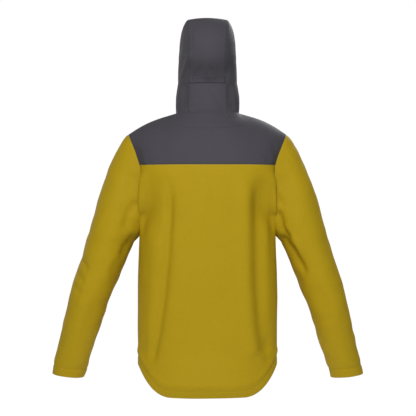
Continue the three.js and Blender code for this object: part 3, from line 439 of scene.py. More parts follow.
# Where the nets' lines fall. The lines up the yokes and down the body start at the hood's own lines.
# The lines lie closer together at the hems, where the cloth is turned up.
HEM_SHARE, CUFF_SHARE, CHIN_ROWS = 0.07, 0.93, 15
BACK_NECK_T = np.r_[np.linspace(0, seam_start, 17), np.linspace(seam_start, 1, 13)[1:]]
FRONT_NECK_T = np.r_[np.linspace(0, CHIN_SEAM, 11), np.linspace(CHIN_SEAM, 1, 19)[1:]]
shoulder_u = np.linspace(NECK_SHARE, 1, 43)[1:]
back_u = np.r_[NECK_SHARE * BACK_NECK_T, shoulder_u]
front_u = np.r_[NECK_SHARE * (1 - FRONT_NECK_T[::-1]), shoulder_u]
body_v = np.r_[np.linspace(0, HEM_SHARE, 17), np.linspace(HEM_SHARE, LOWER_SHARE, 73)[1:],
               np.linspace(LOWER_SHARE, 1, 23)[1:]]
yoke_v = np.linspace(0, 1, 25)
strip_u = back_neck(BACK_NECK_T[:17])[:, 0] / HOOD_STRIP_HALF
side_u = np.r_[np.linspace(0, SIDE_NECK_SHARE, 13), np.linspace(SIDE_NECK_SHARE, 1, 11)[1:]]
side_v = np.r_[np.linspace(0, FOLD, CHIN_ROWS), np.linspace(FOLD, 1, 41)[1:]]
strip_v = np.r_[side_v * CORNER, mix(CORNER, 1, side_u[1:])]
chin_u = (FRONT_NECK_T[10:] - CHIN_SEAM) / (1 - CHIN_SEAM)
back_angles = np.r_[np.linspace(0, back_yoke_angle, 25), np.linspace(back_yoke_angle, np.pi, 23)[1:]]
front_angles = np.r_[np.linspace(0, front_yoke_angle, 25), np.linspace(front_yoke_angle, np.pi, 23)[1:]]
ring_angles = np.r_[back_angles, -front_angles[::-1][1:]]
sleeve_t = np.r_[np.linspace(0, FAN, 25), np.linspace(FAN, CUFF_SHARE, 64)[1:],
                 np.linspace(CUFF_SHARE, 1, 17)[1:]]
PANELS = [
    ("back_panel", back_panel, back_u, body_v),
    ("back_yoke", back_yoke, back_u, yoke_v),
    ("front_panel", front_panel, front_u, body_v),
    ("front_yoke", front_yoke, front_u, yoke_v),
    ("hood_centre", strip, strip_u, strip_v),
    ("hood_side", hood_side, side_u, side_v),
    ("chin_panel", chin_panel, chin_u, side_v[:CHIN_ROWS] / FOLD),
]

nets = {}
for side, hand in (("left", 1), ("right", -1)):
    flip = np.array([hand, 1, 1])
    for name, at, us, vs in PANELS:
        u, v = np.meshgrid(us, vs)
        nets[name, side] = at(u, v) * flip
    nets["sleeve", side] = np.stack([sleeve_ring(t, ring_angles) for t in sleeve_t]) * flip

ids, count = {}, 0
for key, net in nets.items():
    ids[key] = count + np.arange(net[..., 0].size).reshape(net.shape[:2])
    count += net[..., 0].size
place = np.concatenate([net.reshape(-1, 3) for net in nets.values()])

# Sewing: points of two panels that lie on the same stretch of seam become one point.
SEWING_REACH = 0.6
rims = np.unique(np.concatenate([np.r_[i[0], i[-1], i[:, 0], i[:, -1]] for i in ids.values()]))
same = np.arange(count)
for chunk in np.array_split(rims, 24):
    near = np.linalg.norm(place[chunk][:, None] - place[rims][None], axis=2) < SEWING_REACH
    same[chunk] = rims[near.argmax(axis=1)]
same = same[same]
kept = np.unique(same)
renumber = np.zeros(count, int)
renumber[kept] = np.arange(len(kept))
sewn = {key: renumber[same[i]] for key, i in ids.items()}
shell = place[kept]



def squares_of(i):
    return np.stack([i[:-1, :-1], i[:-1, 1:], i[1:, 1:], i[1:, :-1]], -1).reshape(-1, 4)


squares, labels, LABELS = [], [], list(sewn)
for number, (key, i) in enumerate(sewn.items()):
    faces = squares_of(i)
    if (key[1] == "right") == key[0].startswith("front"):
        faces = faces[:, ::-1]
    squares.append(faces)
    labels += [number] * len(faces)
squares, labels = np.concatenate(squares), np.array(labels)

# ---- Drape: how the hung shell folds
# The loose back falls in soft upright folds, and at each side it rolls out over the armhole seam.
SIDE_FOLD_X, SIDE_FOLD_FROM, SIDE_CREST, SIDE_FADE = 190, 0.45, 13.0, 26


def normals_of(spots):
    a, b, c, d = (spots[squares[:, k]] for k in range(4))
    face = np.cross(c - a, d - b)
    total = np.zeros_like(spots)
    for k in range(4):
        np.add.at(total, squares[:, k], face)
    return total / np.maximum(np.linalg.norm(total, axis=1, keepdims=True), 1e-9)


def along_and_across(p, line):
    """How far along a line on the back each point lies, as a share, and how far off it, seen square on.

    A distance past the line's left-hand side is positive.
    """
    line = np.array(line, float)
    flat = p[:, [0, 2]]
    lengths = np.linalg.norm(np.diff(line, axis=0), axis=1)
    best, share, signed = np.full(len(p), 1e9), np.zeros(len(p)), np.zeros(len(p))
    for k, (a, b) in enumerate(zip(line, line[1:])):
        way = b - a
        t = np.clip(((flat - a) @ way) / (way @ way), 0, 1)
        off = flat - a - column(t) * way
        far = np.linalg.norm(off, axis=1)
        turn = np.sign(way[0] * off[:, 1] - way[1] * off[:, 0])
        share = np.where(far < best, (lengths[:k].sum() + t * lengths[k]) / lengths.sum(), share)
        signed = np.where(far < best, far * turn, signed)
        best = np.minimum(best, far)
    return share, signed


def ids_of(*names):
    found = np.zeros(len(shell), bool)
    for key, i in sewn.items():
        if key[0] in names:
            found[i.ravel()] = True
    return found


for side, hand in (("left", 1), ("right", -1)):
    i = sewn["back_panel", side]
    for row, v in zip(i, body_v):
        if v < SIDE_FOLD_FROM:
            continue
        p = shell[row]
        x = p[:, 0] * hand
        run = run_along(p[::-1])[::-1]
        need = max(0.0, SIDE_FOLD_X - x.max()) * float(smooth(1 - v, 0, 0.08))
        rising = np.sin(np.pi / 2 * run / SIDE_CREST)
        fading = np.exp(-(((run - SIDE_CREST) / SIDE_FADE) ** 2))
        roll = np.where(run < SIDE_CREST, rising, fading)
        shell[row, 0] += hand * need * roll
        shy = max(0.0, SIDE_FOLD_X - x[-1]) * float(smooth(1 - v, 0, 0.08))
        shell[row, 1] += (0.55 * shy + 5 * float(smooth(v, 0.55, 0.72) * smooth(1 - v, 0, 0.05))) * roll

# Under the arm the fullness eases into the panel over a hand's breadth.
EASE_REACH, EASE_WIDTH = 21, 8.0
reach = np.exp(-((np.arange(-EASE_REACH, EASE_REACH + 1) / EASE_WIDTH) ** 2))
shares = reach / reach.sum()
for side in ("left", "right"):
    i = sewn["back_panel", side]
    padded = np.pad(shell[i], ((EASE_REACH, EASE_REACH), (0, 0), (0, 0)), mode="edge")
    eased = sum(w * padded[k : k + len(i)] for k, w in enumerate(shares))
    share = column(smooth(body_v, 0.4, 0.58) * (1 - smooth(body_v, 0.9, 0.98))) * smooth(1 - back_u, 0, 0.05)
    eased[..., 2] = shell[i][..., 2]
    shell[i] += (eased - shell[i]) * share[..., None]

# The yoke lies smooth from the neck out to the shoulder, with no crease where the two seams meet.
wide = np.concatenate([sewn["back_yoke", "right"][:, ::-1], sewn["back_yoke", "left"][:, 1:]], axis=1)
padded = np.pad(shell[wide], ((0, 0), (EASE_REACH, EASE_REACH), (0, 0)), mode="reflect", reflect_type="odd")
eased = sum(w * padded[:, k : k + wide.shape[1]] for k, w in enumerate(shares))
share = smooth(yoke_v, 0, 0.2) * (1 - smooth(yoke_v, 0.8, 1))
shell[wide] += (eased - shell[wide]) * share[:, None, None]

# The hood hangs boxy: nearly as wide at the crown as at the cheeks, and flared where it meets the neck.
HOOD_FIT = np.array([(47, 1.0), (80, 0.97), (113, 0.935), (146, 0.905), (179, 0.92), (212, 0.965),
                     (245, 1.02)])
shell[:, 0] *= np.where(ids_of("hood_centre", "hood_side"), np.interp(shell[:, 2], *HOOD_FIT.T), 1)

facing = normals_of(shell)
on_back = ids_of("back_panel") & ~ids_of("sleeve")
on_yoke = ids_of("back_yoke")
on_sleeve = ids_of("sleeve")
on_hood = ids_of("hood_centre", "hood_side")
turned_back = smooth(facing[:, 1], -0.05, 0.45)
rise = np.zeros(len(shell))

# Each fold: the line it follows, its kind, its height and half width, and where along it the fold is full.
BACK_FOLDS = [
    ([(98, -165), (103, -286), (110, -400), (120, -500), (133, -586), (147, -653), (154, -690)],
     "valley", 9.5, 12, 0.2, 0.92),
    ([(-120, -165), (-120, -333), (-123, -466), (-130, -566), (-143, -667)], "step", 8.5, 19, 0.14, 0.95),
    ([(72, -200), (80, -420), (104, -640)], "ridge", 3.0, 26, 0.3, 0.85),
    ([(-20, -260), (-26, -430), (-30, -620)], "valley", 2.4, 44, 0.3, 0.8),
    ([(-160, -220), (-160, -420), (-164, -600)], "ridge", 2.6, 12, 0.2, 0.85),
    ([(140, -300), (150, -480), (170, -640)], "ridge", 2.6, 16, 0.2, 0.85),
    ([(-172, -600), (-158, -690)], "valley", 3.2, 11, 0.3, 0.8),
    ([(165, -560), (176, -680)], "valley", 2.2, 12, 0.3, 0.8),
    ([(-174, -190), (-176, -300), (-174, -420)], "valley", 2.6, 9, 0.2, 0.6),
    ([(172, -190), (174, -300), (172, -420)], "valley", 1.8, 9, 0.2, 0.6),
]
SLEEVE_FOLD_STRENGTH = 1.5
SLEEVE_FOLDS = [
    ([(-190, -268), (-205, -315), (-232, -352)], "valley", 6.5, 10, 0.1, 0.75),
    ([(-196, -335), (-232, -375), (-272, -452)], "valley", 6.5, 10, 0.1, 0.8),
    ([(-206, -300), (-240, -352), (-262, -400)], "ridge", 4.0, 9, 0.15, 0.7),
    ([(-236, -430), (-262, -480)], "valley", 3.2, 8, 0.2, 0.7),
    ([(-190, -230), (-214, -262)], "valley", 4.0, 9, 0.1, 0.6),
    ([(192, -240), (216, -282), (226, -330)], "valley", 4.5, 12, 0.1, 0.7),
    ([(196, -330), (226, -372), (242, -410)], "valley", 4.0, 10, 0.15, 0.7),
    ([(255, -385), (280, -430), (268, -470)], "ridge", 2.4, 12, 0.2, 0.7),
    ([(205, -150), (222, -230), (232, -300)], "valley", 2.6, 18, 0.2, 0.7),
    ([(-205, -160), (-226, -230), (-246, -290)], "valley", 2.6, 18, 0.2, 0.7),
    ([(352, -402), (338, -414), (326, -436)], "valley", 2.6, 6, 0.15, 0.7),
    ([(366, -440), (350, -450), (338, -470)], "valley", 2.8, 6, 0.15, 0.7),
    ([(372, -476), (356, -484), (348, -500)], "valley", 2.2, 6, 0.15, 0.7),
    ([(-296, -470), (-322, -520), (-338, -590)], "valley", 2.6, 20, 0.2, 0.8),
    ([(300, -500), (322, -560), (340, -640)], "valley", 2.6, 20, 0.2, 0.8),
]
YOKE_FOLDS = [
    ([(190, -92), (186, -130), (178, -160)], "valley", 3.0, 9, 0.2, 0.9),
    ([(-178, -78), (-190, -120), (-190, -160)], "valley", 3.0, 9, 0.2, 0.9),
    ([(150, -128), (182, -146)], "valley", 2.4, 7, 0.3, 0.9),
    ([(-152, -124), (-184, -150)], "valley", 2.4, 7, 0.3, 0.9),
]
HOOD_FOLDS = [
    ([(36, z), (54, z - 5), (68, z - 16)], "valley", 2.2, 4.5, 0.2, 0.6) for z in (222, 209, 196, 184, 172)
] + [
    ([(48, 164), (60, 130), (74, 96)], "ridge", 3.2, 8, 0.2, 0.8),
    ([(58, 158), (69, 128), (80, 100)], "valley", 2.6, 7, 0.2, 0.8),
    ([(46, 92), (0, 89), (-52, 92)], "valley", 3.2, 15, 0.05, 0.95),
    ([(34, 101), (22, 112), (8, 128)], "valley", 1.7, 7, 0.05, 0.5),
    ([(-24, 101), (-14, 112), (-4, 126)], "valley", 1.7, 7, 0.05, 0.5),
    ([(-52, 103), (-60, 120), (-62, 146)], "valley", 2.2, 8, 0.05, 0.5),
    ([(-1, 74), (18, 40), (38, 2)], "valley", 2.0, 8, 0.1, 0.95),
    ([(-1, 74), (-24, 40), (-48, 2)], "valley", 2.0, 8, 0.1, 0.95),
    ([(62, 84), (64, 40), (68, 6)], "valley", 5.0, 9, 0.1, 0.9),
    ([(-62, 84), (-64, 40), (-70, 6)], "valley", 5.0, 9, 0.1, 0.9),
]


def fold_heights(p, folds):
    total = np.zeros(len(p))
    for line, kind, height, width, full_from, full_to in folds:
        t, d = along_and_across(p, line)
        strength = smooth(t, 0, full_from) * (1 - smooth(t, full_to, 1))
        shape = np.exp(-((d / width) ** 2))
        if kind == "step":
            shape = d / width * np.exp(0.5 - 0.5 * (d / width) ** 2)
        total += {"valley": -1, "ridge": 1, "step": 1}[kind] * height * strength * shape
    return total


rise += np.where(on_back, fold_heights(shell, BACK_FOLDS), 0)
rise += np.where(on_sleeve, SLEEVE_FOLD_STRENGTH * fold_heights(shell, SLEEVE_FOLDS), 0)
rise += np.where(on_yoke & ~on_sleeve, fold_heights(shell, YOKE_FOLDS), 0)
rise += np.where(on_hood, fold_heights(shell, HOOD_FOLDS), 0)
rise *= turned_back

# Slack that no line follows: broad low swells all over, and closer ones down the sleeves.
BODY_SWELL, SLEEVE_SWELL, HOOD_SHARE = 2.2, 1.8, 0.35
swell = np.array([noise(Vector(p * 0.011)) for p in shell]) * BODY_SWELL
close = np.array([noise(Vector((p[0] * 0.02 + 7, p[1] * 0.02, p[2] * 0.034))) for p in shell])
swell += np.where(on_sleeve, close * SLEEVE_SWELL, 0)
quiet_front = 1 - smooth(-shell[:, 1], 60, 120) * (1 - on_sleeve)
rise += swell * quiet_front * np.where(on_hood, HOOD_SHARE, 1)
rise *= 1 - np.exp(-((np.abs(shell[:, 0]) / 10) ** 2)) * (shell[:, 1] < -100)
shell = shell + facing * column(rise)

# Hems are turned up double: a ledge, then a sunk stitch line, then the cloth springs out above it.
HEM_HEIGHT, CUFF_HEIGHT, HEM_ROWS = 23, 28, 24
LEDGE, GROOVE, GROOVE_HALF, HEM_SPRING, CUFF_SPRING, SPRING_ABOVE = 0.8, 0.9, 2.4, 2.4, 0.9, 16
shaped = np.zeros(len(shell))
for (name, side), i in sewn.items():
    if name in ("back_panel", "front_panel", "sleeve"):
        height, spring = (CUFF_HEIGHT, CUFF_SPRING) if name == "sleeve" else (HEM_HEIGHT, HEM_SPRING)
        rows = (i if name != "sleeve" else i[::-1])[:HEM_ROWS]
        run = run_along(shell[rows])
        ledge = LEDGE * (1 - smooth(run, height - 1.5, height + 0.5))
        ledge = ledge - GROOVE * np.exp(-(((run - height) / GROOVE_HALF) ** 2))
        ledge += spring * np.exp(-(((run - height - SPRING_ABOVE) / 9) ** 2))
        ledge[0] -= 0.6
        shaped[rows] = ledge

# Seams draw in a little where the panels are sewn and taped.
SEAM_PULL, ALREADY_PULLED = 1.1, -0.9
for (name, side), i in sewn.items():
    drawn_in = {"back_panel": [i[-1]], "front_panel": [i[-1], i[:, -1]], "front_yoke": [i[-1]],
                "sleeve": [i[0]], "hood_centre": [i[0], i[:, -1]]}
    for line in drawn_in.get(name, []):
        shaped[line] -= SEAM_PULL * (shaped[line] > ALREADY_PULLED)
shell = shell + facing * column(shaped)
facing = normals_of(shell)
surface = BVHTree.FromPolygons(shell.tolist(), squares.tolist())

# ---- Cloth: what the shell is woven from
# A plain weave of fine face yarn with faint slubs, over a grey backer. Every cloth shares this weave.
def nodes_of(tree):
    def add(kind, **settings):
        made = tree.nodes.new(kind)
        for name, value in settings.items():
            if name.startswith("in_"):
                made.inputs[int(name[3:])].default_value = value
            else:
                setattr(made, name, value)
        return made

    return add


def cloth_weave():
    """Weave: yarn height and a mottled tint, from the cloth's own place, so that it needs no unwrapping."""
    group = bpy.data.node_groups.new("cloth weave", "ShaderNodeTree")
    for name, kind, start in (("Colour", "NodeSocketColor", (0.5, 0.5, 0.5, 1)),
                              ("Yarns per metre", "NodeSocketFloat", 1400),
                              ("Mottle", "NodeSocketFloat", 0.05)):
        group.interface.new_socket(name, in_out="INPUT", socket_type=kind).default_value = start
    for name, kind in (("Colour", "NodeSocketColor"), ("Height", "NodeSocketFloat")):
        group.interface.new_socket(name, in_out="OUTPUT", socket_type=kind)
    add, link = nodes_of(group), group.links.new
    given, out = add("NodeGroupInput"), add("NodeGroupOutput")
    spot = add("ShaderNodeTexCoord")
    yarns = []
    for stretch in ((1, 1, 0.22), (0.22, 0.5, 1)):
        way = add("ShaderNodeVectorMath", operation="MULTIPLY", in_1=stretch)
        link(spot.outputs["Object"], way.inputs[0])
        yarn = add("ShaderNodeTexNoise", in_3=1.5)
        link(way.outputs[0], yarn.inputs["Vector"])
        link(given.outputs["Yarns per metre"], yarn.inputs["Scale"])
        yarns.append(yarn)
    both = add("ShaderNodeMath", operation="ADD")
    for k, yarn in enumerate(yarns):
        link(yarn.outputs[0], both.inputs[k])
    link(both.outputs[0], out.inputs["Height"])
    mottle = add("ShaderNodeTexNoise", in_2=26, in_3=3)
    link(spot.outputs["Object"], mottle.inputs["Vector"])
    blotch = add("ShaderNodeMath", operation="MULTIPLY_ADD", in_2=0.97)
    grainy = add("ShaderNodeMath", operation="MULTIPLY_ADD", in_1=0.22)
    link(mottle.outputs[0], blotch.inputs[0])
    link(given.outputs["Mottle"], blotch.inputs[1])
    link(both.outputs[0], grainy.inputs[0])
    link(blotch.outputs[0], grainy.inputs[2])
    dim = add("ShaderNodeMath", operation="SUBTRACT", in_1=0.22)
    link(grainy.outputs[0], dim.inputs[0])
    tint = add("ShaderNodeVectorMath", operation="SCALE")
    link(given.outputs["Colour"], tint.inputs[0])
    link(dim.outputs[0], tint.inputs["Scale"])
    link(tint.outputs[0], out.inputs["Colour"])
    return group


weave = cloth_weave()


def bumped_material(name, colour, roughness, bump, depth):
    """A material with its colour and roughness, whose bump waits for a height."""
    made = bpy.data.materials.new(name)
    made.use_nodes = True
    add, link = nodes_of(made.node_tree), made.node_tree.links.new
    shader = made.node_tree.nodes["Principled BSDF"]
    shader.inputs["Base Color"].default_value = (*colour, 1)
    shader.inputs["Roughness"].default_value = roughness
    lift = add("ShaderNodeBump", in_0=bump, in_1=depth)
    link(lift.outputs[0], shader.inputs["Normal"])
    return made, shader, lift, add, link


def cloth(name, colour, roughness, yarns, bump, mottle=0.05):
    """A cloth finish: its own colour and yarn count over the shared weave."""
    made, shader, lift, add, link = bumped_material(name, colour, roughness, bump, 0.0004)
    woven = add("ShaderNodeGroup", node_tree=weave)
    woven.inputs["Colour"].default_value = (*colour, 1)
    woven.inputs["Yarns per metre"].default_value = yarns
    woven.inputs["Mottle"].default_value = mottle
    link(woven.outputs["Height"], lift.inputs["Height"])
    link(woven.outputs["Colour"], shader.inputs["Base Color"])
    shader.inputs["Specular IOR Level"].default_value = 0.14
    return made


yellow = cloth("yellow face cloth", (0.47, 0.318, 0.007), 0.7, 1500, 0.35)
charcoal = cloth("charcoal face cloth", (0.074, 0.07, 0.082), 0.7, 1500, 0.35)
backer = cloth("grey backer", (0.09, 0.09, 0.1), 0.85, 2200, 0.3)

CLOTH_THICKNESS = 0.0007
BODY_CLOTH = [
    ("back_cloth", "back_panel", "both", yellow, ["back_panel"], "shell", (0.58, 0.64)),
    ("back_yoke_cloth", "back_yoke", "both", charcoal, ["back_yoke"], "yoke", (0.54, 0.2)),
]
for side in ("left", "right"):
    for stem, panel, face_cloth, slot, flat in (
        ("front", "front_panel", yellow, "shell", (0.28, 0.6)),
        ("front_yoke", "front_yoke", charcoal, "yoke", (0.33, 0.21)),
        ("chin", "chin_panel", charcoal, "yoke", (0.12, 0.115)),
        ("hood_side", "hood_side", charcoal, "yoke", (0.22, 0.3)),
    ):
        BODY_CLOTH.append((f"{stem}_cloth_{side}", panel, side, face_cloth, [f"{panel}_{side}"], slot, flat))
BODY_CLOTH.append(("hood_centre_cloth", "hood_centre", "both", charcoal,
                   ["hood_centre_panel", "hood_lower"], "yoke", (0.12, 0.48)))


def made_mesh(name, spots, faces, materials, smooth_faces=True):
    mesh = bpy.data.meshes.new(name)
    mesh.from_pydata((np.asarray(spots) / 1000).tolist(), [], np.asarray(faces).tolist())
    for finish in materials:
        mesh.materials.append(finish)
    if smooth_faces:
        mesh.polygons.foreach_set("use_smooth", np.ones(len(mesh.polygons), bool))
    piece = bpy.data.objects.new(name, mesh)
    bpy.context.collection.objects.link(piece)
    return piece


def sewn_edges(piece):
    """The outline of a panel is a crisp edge, where the cloth turns under."""
    net = bmesh.new()
    net.from_mesh(piece.data)
    for edge in net.edges:
        edge.smooth = not edge.is_boundary
    net.to_mesh(piece.data)
    net.free()


def thicken(piece, thickness, offset, inner=0):
    thick = piece.modifiers.new("cloth", "SOLIDIFY")
    thick.thickness, thick.offset, thick.material_offset = thickness, offset, inner


def cut_from_shell(name, chosen, face_cloth, replaced, slot, flat):
    """One panel cut out of the sewn shell, given the cloth's own thickness with the backer inside."""
    faces = squares[chosen]
    corners, local = np.unique(faces, return_inverse=True)
    piece = made_mesh(name, shell[corners], local.reshape(faces.shape), [face_cloth, backer])
    sewn_edges(piece)
    thicken(piece, CLOTH_THICKNESS, -1, inner=1)
    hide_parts(*replaced)
    return piece


def follow_front(piece, side):
    """Bakes the piece's placement into its points. A share toward the front opening is worked out, but
    nothing uses it.
    """
    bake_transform(piece)
    x, y, z = np.array([v.co for v in piece.data.vertices]).T * 1000
    share = smooth(-y, 80, 142) * (1 - smooth(z, -300, -120) * smooth(abs(x), 60, 150))
    share = np.maximum(share, (1 - smooth(abs(x), 20, 85)) * smooth(-y, 70, 130))


def follow_hood(piece):
    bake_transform(piece)


for name, panel, side, face_cloth, replaced, slot, flat in BODY_CLOTH:
    numbers = [k for k, key in enumerate(LABELS) if key[0] == panel and side in ("both", key[1])]
    piece = cut_from_shell(name, np.isin(labels, numbers), face_cloth, replaced, slot, flat)
    if name.startswith(("front", "chin")):
        follow_front(piece, side)
    elif name.startswith("hood"):
        follow_hood(piece)
    else:
        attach(piece, "back")

# ---- Sleeves: each a tapered tube set into the armhole, in the yellow cloth
# The sleeve is cut in an upper and a lower stretch, which meet above the elbow.
SLEEVE_SPLIT, CAP_START, CAP_END, ELBOW_REACH = 40, 4, 62, 58
for side, hand in (("left", 1), ("right", -1)):
    number = LABELS.index(("sleeve", side))
    mine = np.flatnonzero(labels == number)
    row = np.arange(len(mine)) // (sewn["sleeve", side].shape[1] - 1)
    flip = np.array([hand, 1, 1])
    for name, rows, bodies, start, end, replaced in (
        ("upper", row < SLEEVE_SPLIT, ("back", f"arm_{side}"), armhole_centre - CAP_START * armhole_out,
         armhole_centre + CAP_END * armhole_out, [f"sleeve_cap_{side}", f"sleeve_upper_{side}"]),
        ("lower", row >= SLEEVE_SPLIT, (f"arm_{side}", f"forearm_{side}"), elbow - ELBOW_REACH * upper_way,
         elbow + ELBOW_REACH * forearm_way, [f"sleeve_elbow_{side}", f"sleeve_lower_{side}"]),
    ):
        chosen = np.zeros(len(squares), bool)
        chosen[mine[rows]] = True
        flat = (0.59, 0.38) if name == "upper" else (0.41, 0.35)
        piece = cut_from_shell(f"sleeve_{name}_cloth_{side}", chosen, yellow, replaced, "shell", flat)
        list(bodies)
        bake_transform(piece)

# ---- Faced edges: the hem and cuff facings and the tape over the yoke seam
# Strips of the thin charcoal cloth, glued and stitched inside the shell. The tape is a heat-sealed film.
facing_cloth = cloth("charcoal facing", (0.045, 0.043, 0.05), 0.7, 1700, 0.3)
tape_film = cloth("seam tape", (0.022, 0.022, 0.025), 0.38, 900, 0.08)
LINING_START, HEM_LINING, CUFF_LINING, LINING_SINK, LINING_THICKNESS = 0.6, 26, 31, 1.7, 0.0005
TAPE_WIDTH, TAPE_SINK = 20, 1.15


def beside(net, distances):
    """Points and outward ways at set distances from a seam. The net's first row lies on the seam."""
    p, out = shell[net], facing[net]
    run = run_along(p)

    def read(q):
        lines = [[np.interp(distances, run[:, c], q[:, c, k]) for k in range(3)] for c in range(p.shape[1])]
        return np.moveaxis(np.array(lines), 2, 0)

    return read(p), read(out)


def both_sides(name, rows=slice(None)):
    return np.concatenate([sewn[name, "right"][rows, ::-1], sewn[name, "left"][rows, 1:]], axis=1)


def grid_faces(rows, columns):
    return squares_of(np.arange(rows * columns).reshape(rows, columns))


def follow_forearm(piece, side):
    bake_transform(piece)


def lining_strip(name, net, width, replaced, start=LINING_START, sink=LINING_SINK, finish=facing_cloth):
    p, out = beside(net, np.linspace(start, start + width, 15))
    piece = made_mesh(name, (p - out * sink).reshape(-1, 3), grid_faces(*p.shape[:2]), [finish])
    sewn_edges(piece)
    thicken(piece, LINING_THICKNESS, 0)
    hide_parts(replaced)
    return piece


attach(lining_strip("hem_lining_back", both_sides("back_panel"), HEM_LINING, "hem_facing_back"), "back")
below_seam = both_sides("back_panel", slice(None, None, -1))[8::-1]
yoke_tape = np.concatenate([below_seam, both_sides("back_yoke")[1:9]])
first = np.linalg.norm(np.diff(shell[yoke_tape[:9]], axis=0), axis=2).sum(axis=0).mean()
seam_tape = lining_strip("yoke_tape_film", yoke_tape, TAPE_WIDTH, "yoke_seam_tape", first - TAPE_WIDTH / 2,
                         TAPE_SINK, tape_film)
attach(seam_tape, "back")
for side in ("left", "right"):
    front = sewn["front_panel", side][:, 4:]
    follow_front(lining_strip(f"hem_lining_{side}", front, HEM_LINING, f"hem_facing_front_{side}"), side)
    sleeve = sewn["sleeve", side][::-1]
    follow_forearm(lining_strip(f"cuff_lining_{side}", sleeve, CUFF_LINING, f"cuff_facing_{side}"), side)

# ---- Topstitching: hems, cuffs, yoke, neck, hood seams, face edge and front edges
# Polyester thread in the cloth's own colour, about eight stitches to the inch. Each dips in at its ends.
yellow_thread = cloth("yellow thread", (0.36, 0.25, 0.012), 0.5, 4000, 0.2)
charcoal_thread = cloth("charcoal thread", (0.05, 0.048, 0.056), 0.5, 4000, 0.2)
STITCH_PITCH, STITCH_LENGTH, THREAD_HALF = 3.2, 2.6, 0.34
YOKE_ROW, FRONT_ROW, HOOD_ROW, FACE_ROW = 2.4, 7, 2.6, 18


def stitch_rows(name, lines, thread):
    spots, faces = [], []
    for line, out in lines:
        run = run_along(line)
        starts = np.arange(STITCH_PITCH / 2, run[-1] - STITCH_PITCH, STITCH_PITCH)
        rings = []
        for share, lift, half in ((0, -0.25, 0.6), (0.28, 0.2, 1), (0.72, 0.2, 1), (1, -0.25, 0.6)):
            at = starts + share * STITCH_LENGTH
            spot, up = (np.stack([np.interp(at, run, q[:, k]) for k in range(3)], -1) for q in (line, out))
            way = np.gradient(spot, axis=0)
            across = np.cross(way, up)
            across /= np.linalg.norm(across, axis=1, keepdims=True)
            for a, b in ((-1, 0), (0, 0.8), (1, 0), (0, -0.8)):
                rings.append(spot + up * (lift + b * half * THREAD_HALF) + across * a * half * THREAD_HALF)
        base = sum(len(s) for s in spots)
        block = np.stack(rings, 1)
        spots.append(block.reshape(-1, 3))
        one = [(4 * s + k, 4 * s + (k + 1) % 4, 4 * s + 4 + (k + 1) % 4, 4 * s + 4 + k)
               for s in range(3) for k in range(4)]
        one += [(3, 2, 1, 0), (12, 13, 14, 15)]
        each = np.array(one)[None] + 16 * np.arange(len(starts))[:, None, None]
        faces.append(each.reshape(-1, 4) + base)
    piece = made_mesh(name, np.concatenate(spots), np.concatenate(faces), [thread])
    return piece


def seam_lines(net, *distances):
    p, out = beside(net, distances)
    return list(zip(p, out))


def seen_from_behind(x, z):
    """Where a level line from behind meets the shell, and the outward way there."""
    hits = [surface.ray_cast((float(a), 600.0, float(b)), (0, -1, 0)) for a, b in zip(x, z)]
    return np.array([h[0] for h in hits]), np.array([h[1] for h in hits])


neck_x = np.linspace(-104, 96, 101)
neck_facing = seen_from_behind(neck_x, -45 + 11 * (abs(neck_x) / 100) ** 2.4)
hem_row = seam_lines(both_sides("back_panel"), HEM_HEIGHT)
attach(stitch_rows("stitching_back_hem", hem_row, yellow_thread), "back")
yoke_rows = seam_lines(both_sides("back_yoke"), YOKE_ROW) + [neck_facing]
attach(stitch_rows("stitching_back_yoke", yoke_rows, charcoal_thread), "back")
for side in ("left", "right"):
    front, bib, chin = (sewn[name, side] for name in ("front_panel", "front_yoke", "chin_panel"))
    front_rows = seam_lines(front, HEM_HEIGHT) + seam_lines(front.T, FRONT_ROW)
    follow_front(stitch_rows(f"stitching_front_{side}", front_rows, yellow_thread), side)
    bib_rows = seam_lines(bib, YOKE_ROW) + seam_lines(bib.T, FRONT_ROW)
    follow_front(stitch_rows(f"stitching_bib_{side}", bib_rows, charcoal_thread), side)
    chin_rows = seam_lines(chin.T[::-1], FRONT_ROW) + seam_lines(chin[::-1], FRONT_ROW)
    follow_front(stitch_rows(f"stitching_chin_{side}", chin_rows, charcoal_thread), side)
    cuff_row = seam_lines(sewn["sleeve", side][::-1], CUFF_HEIGHT)
    follow_forearm(stitch_rows(f"stitching_cuff_{side}", cuff_row, yellow_thread), side)
    middle, cheek_panel = sewn["hood_centre", side], sewn["hood_side", side]
    hood_rows = seam_lines(middle.T[::-1], HOOD_ROW) + seam_lines(cheek_panel.T[::-1], FACE_ROW)
    hood_rows += seam_lines(middle[::-1], FACE_ROW)
    follow_hood(stitch_rows(f"stitching_hood_{side}", hood_rows, charcoal_thread))

# ---- Hood trims: rear casing with its elastic, peak, face-edge facing and chin guard
# The casing is a strip of charcoal cloth stitched across the back of the hood. Its elastic gathers it.
CASING_HALF, CASING_LOW, CASING_HIGH, CASING_LIFT, CASING_RIB = 50, 80, 101, 2.4, 1.2
GATHER_PITCH, CASING_THICKNESS = 5.4, 0.0004


def dressed(node, finish, bevel=0.0):
    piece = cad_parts[node]
    piece.data.materials.clear()
    piece.data.materials.append(finish)
    if bevel:
        edge = piece.modifiers.new("rounded", "BEVEL")
        edge.width, edge.segments = bevel / 1000, 3
        edge.limit_method = "ANGLE"
    return piece


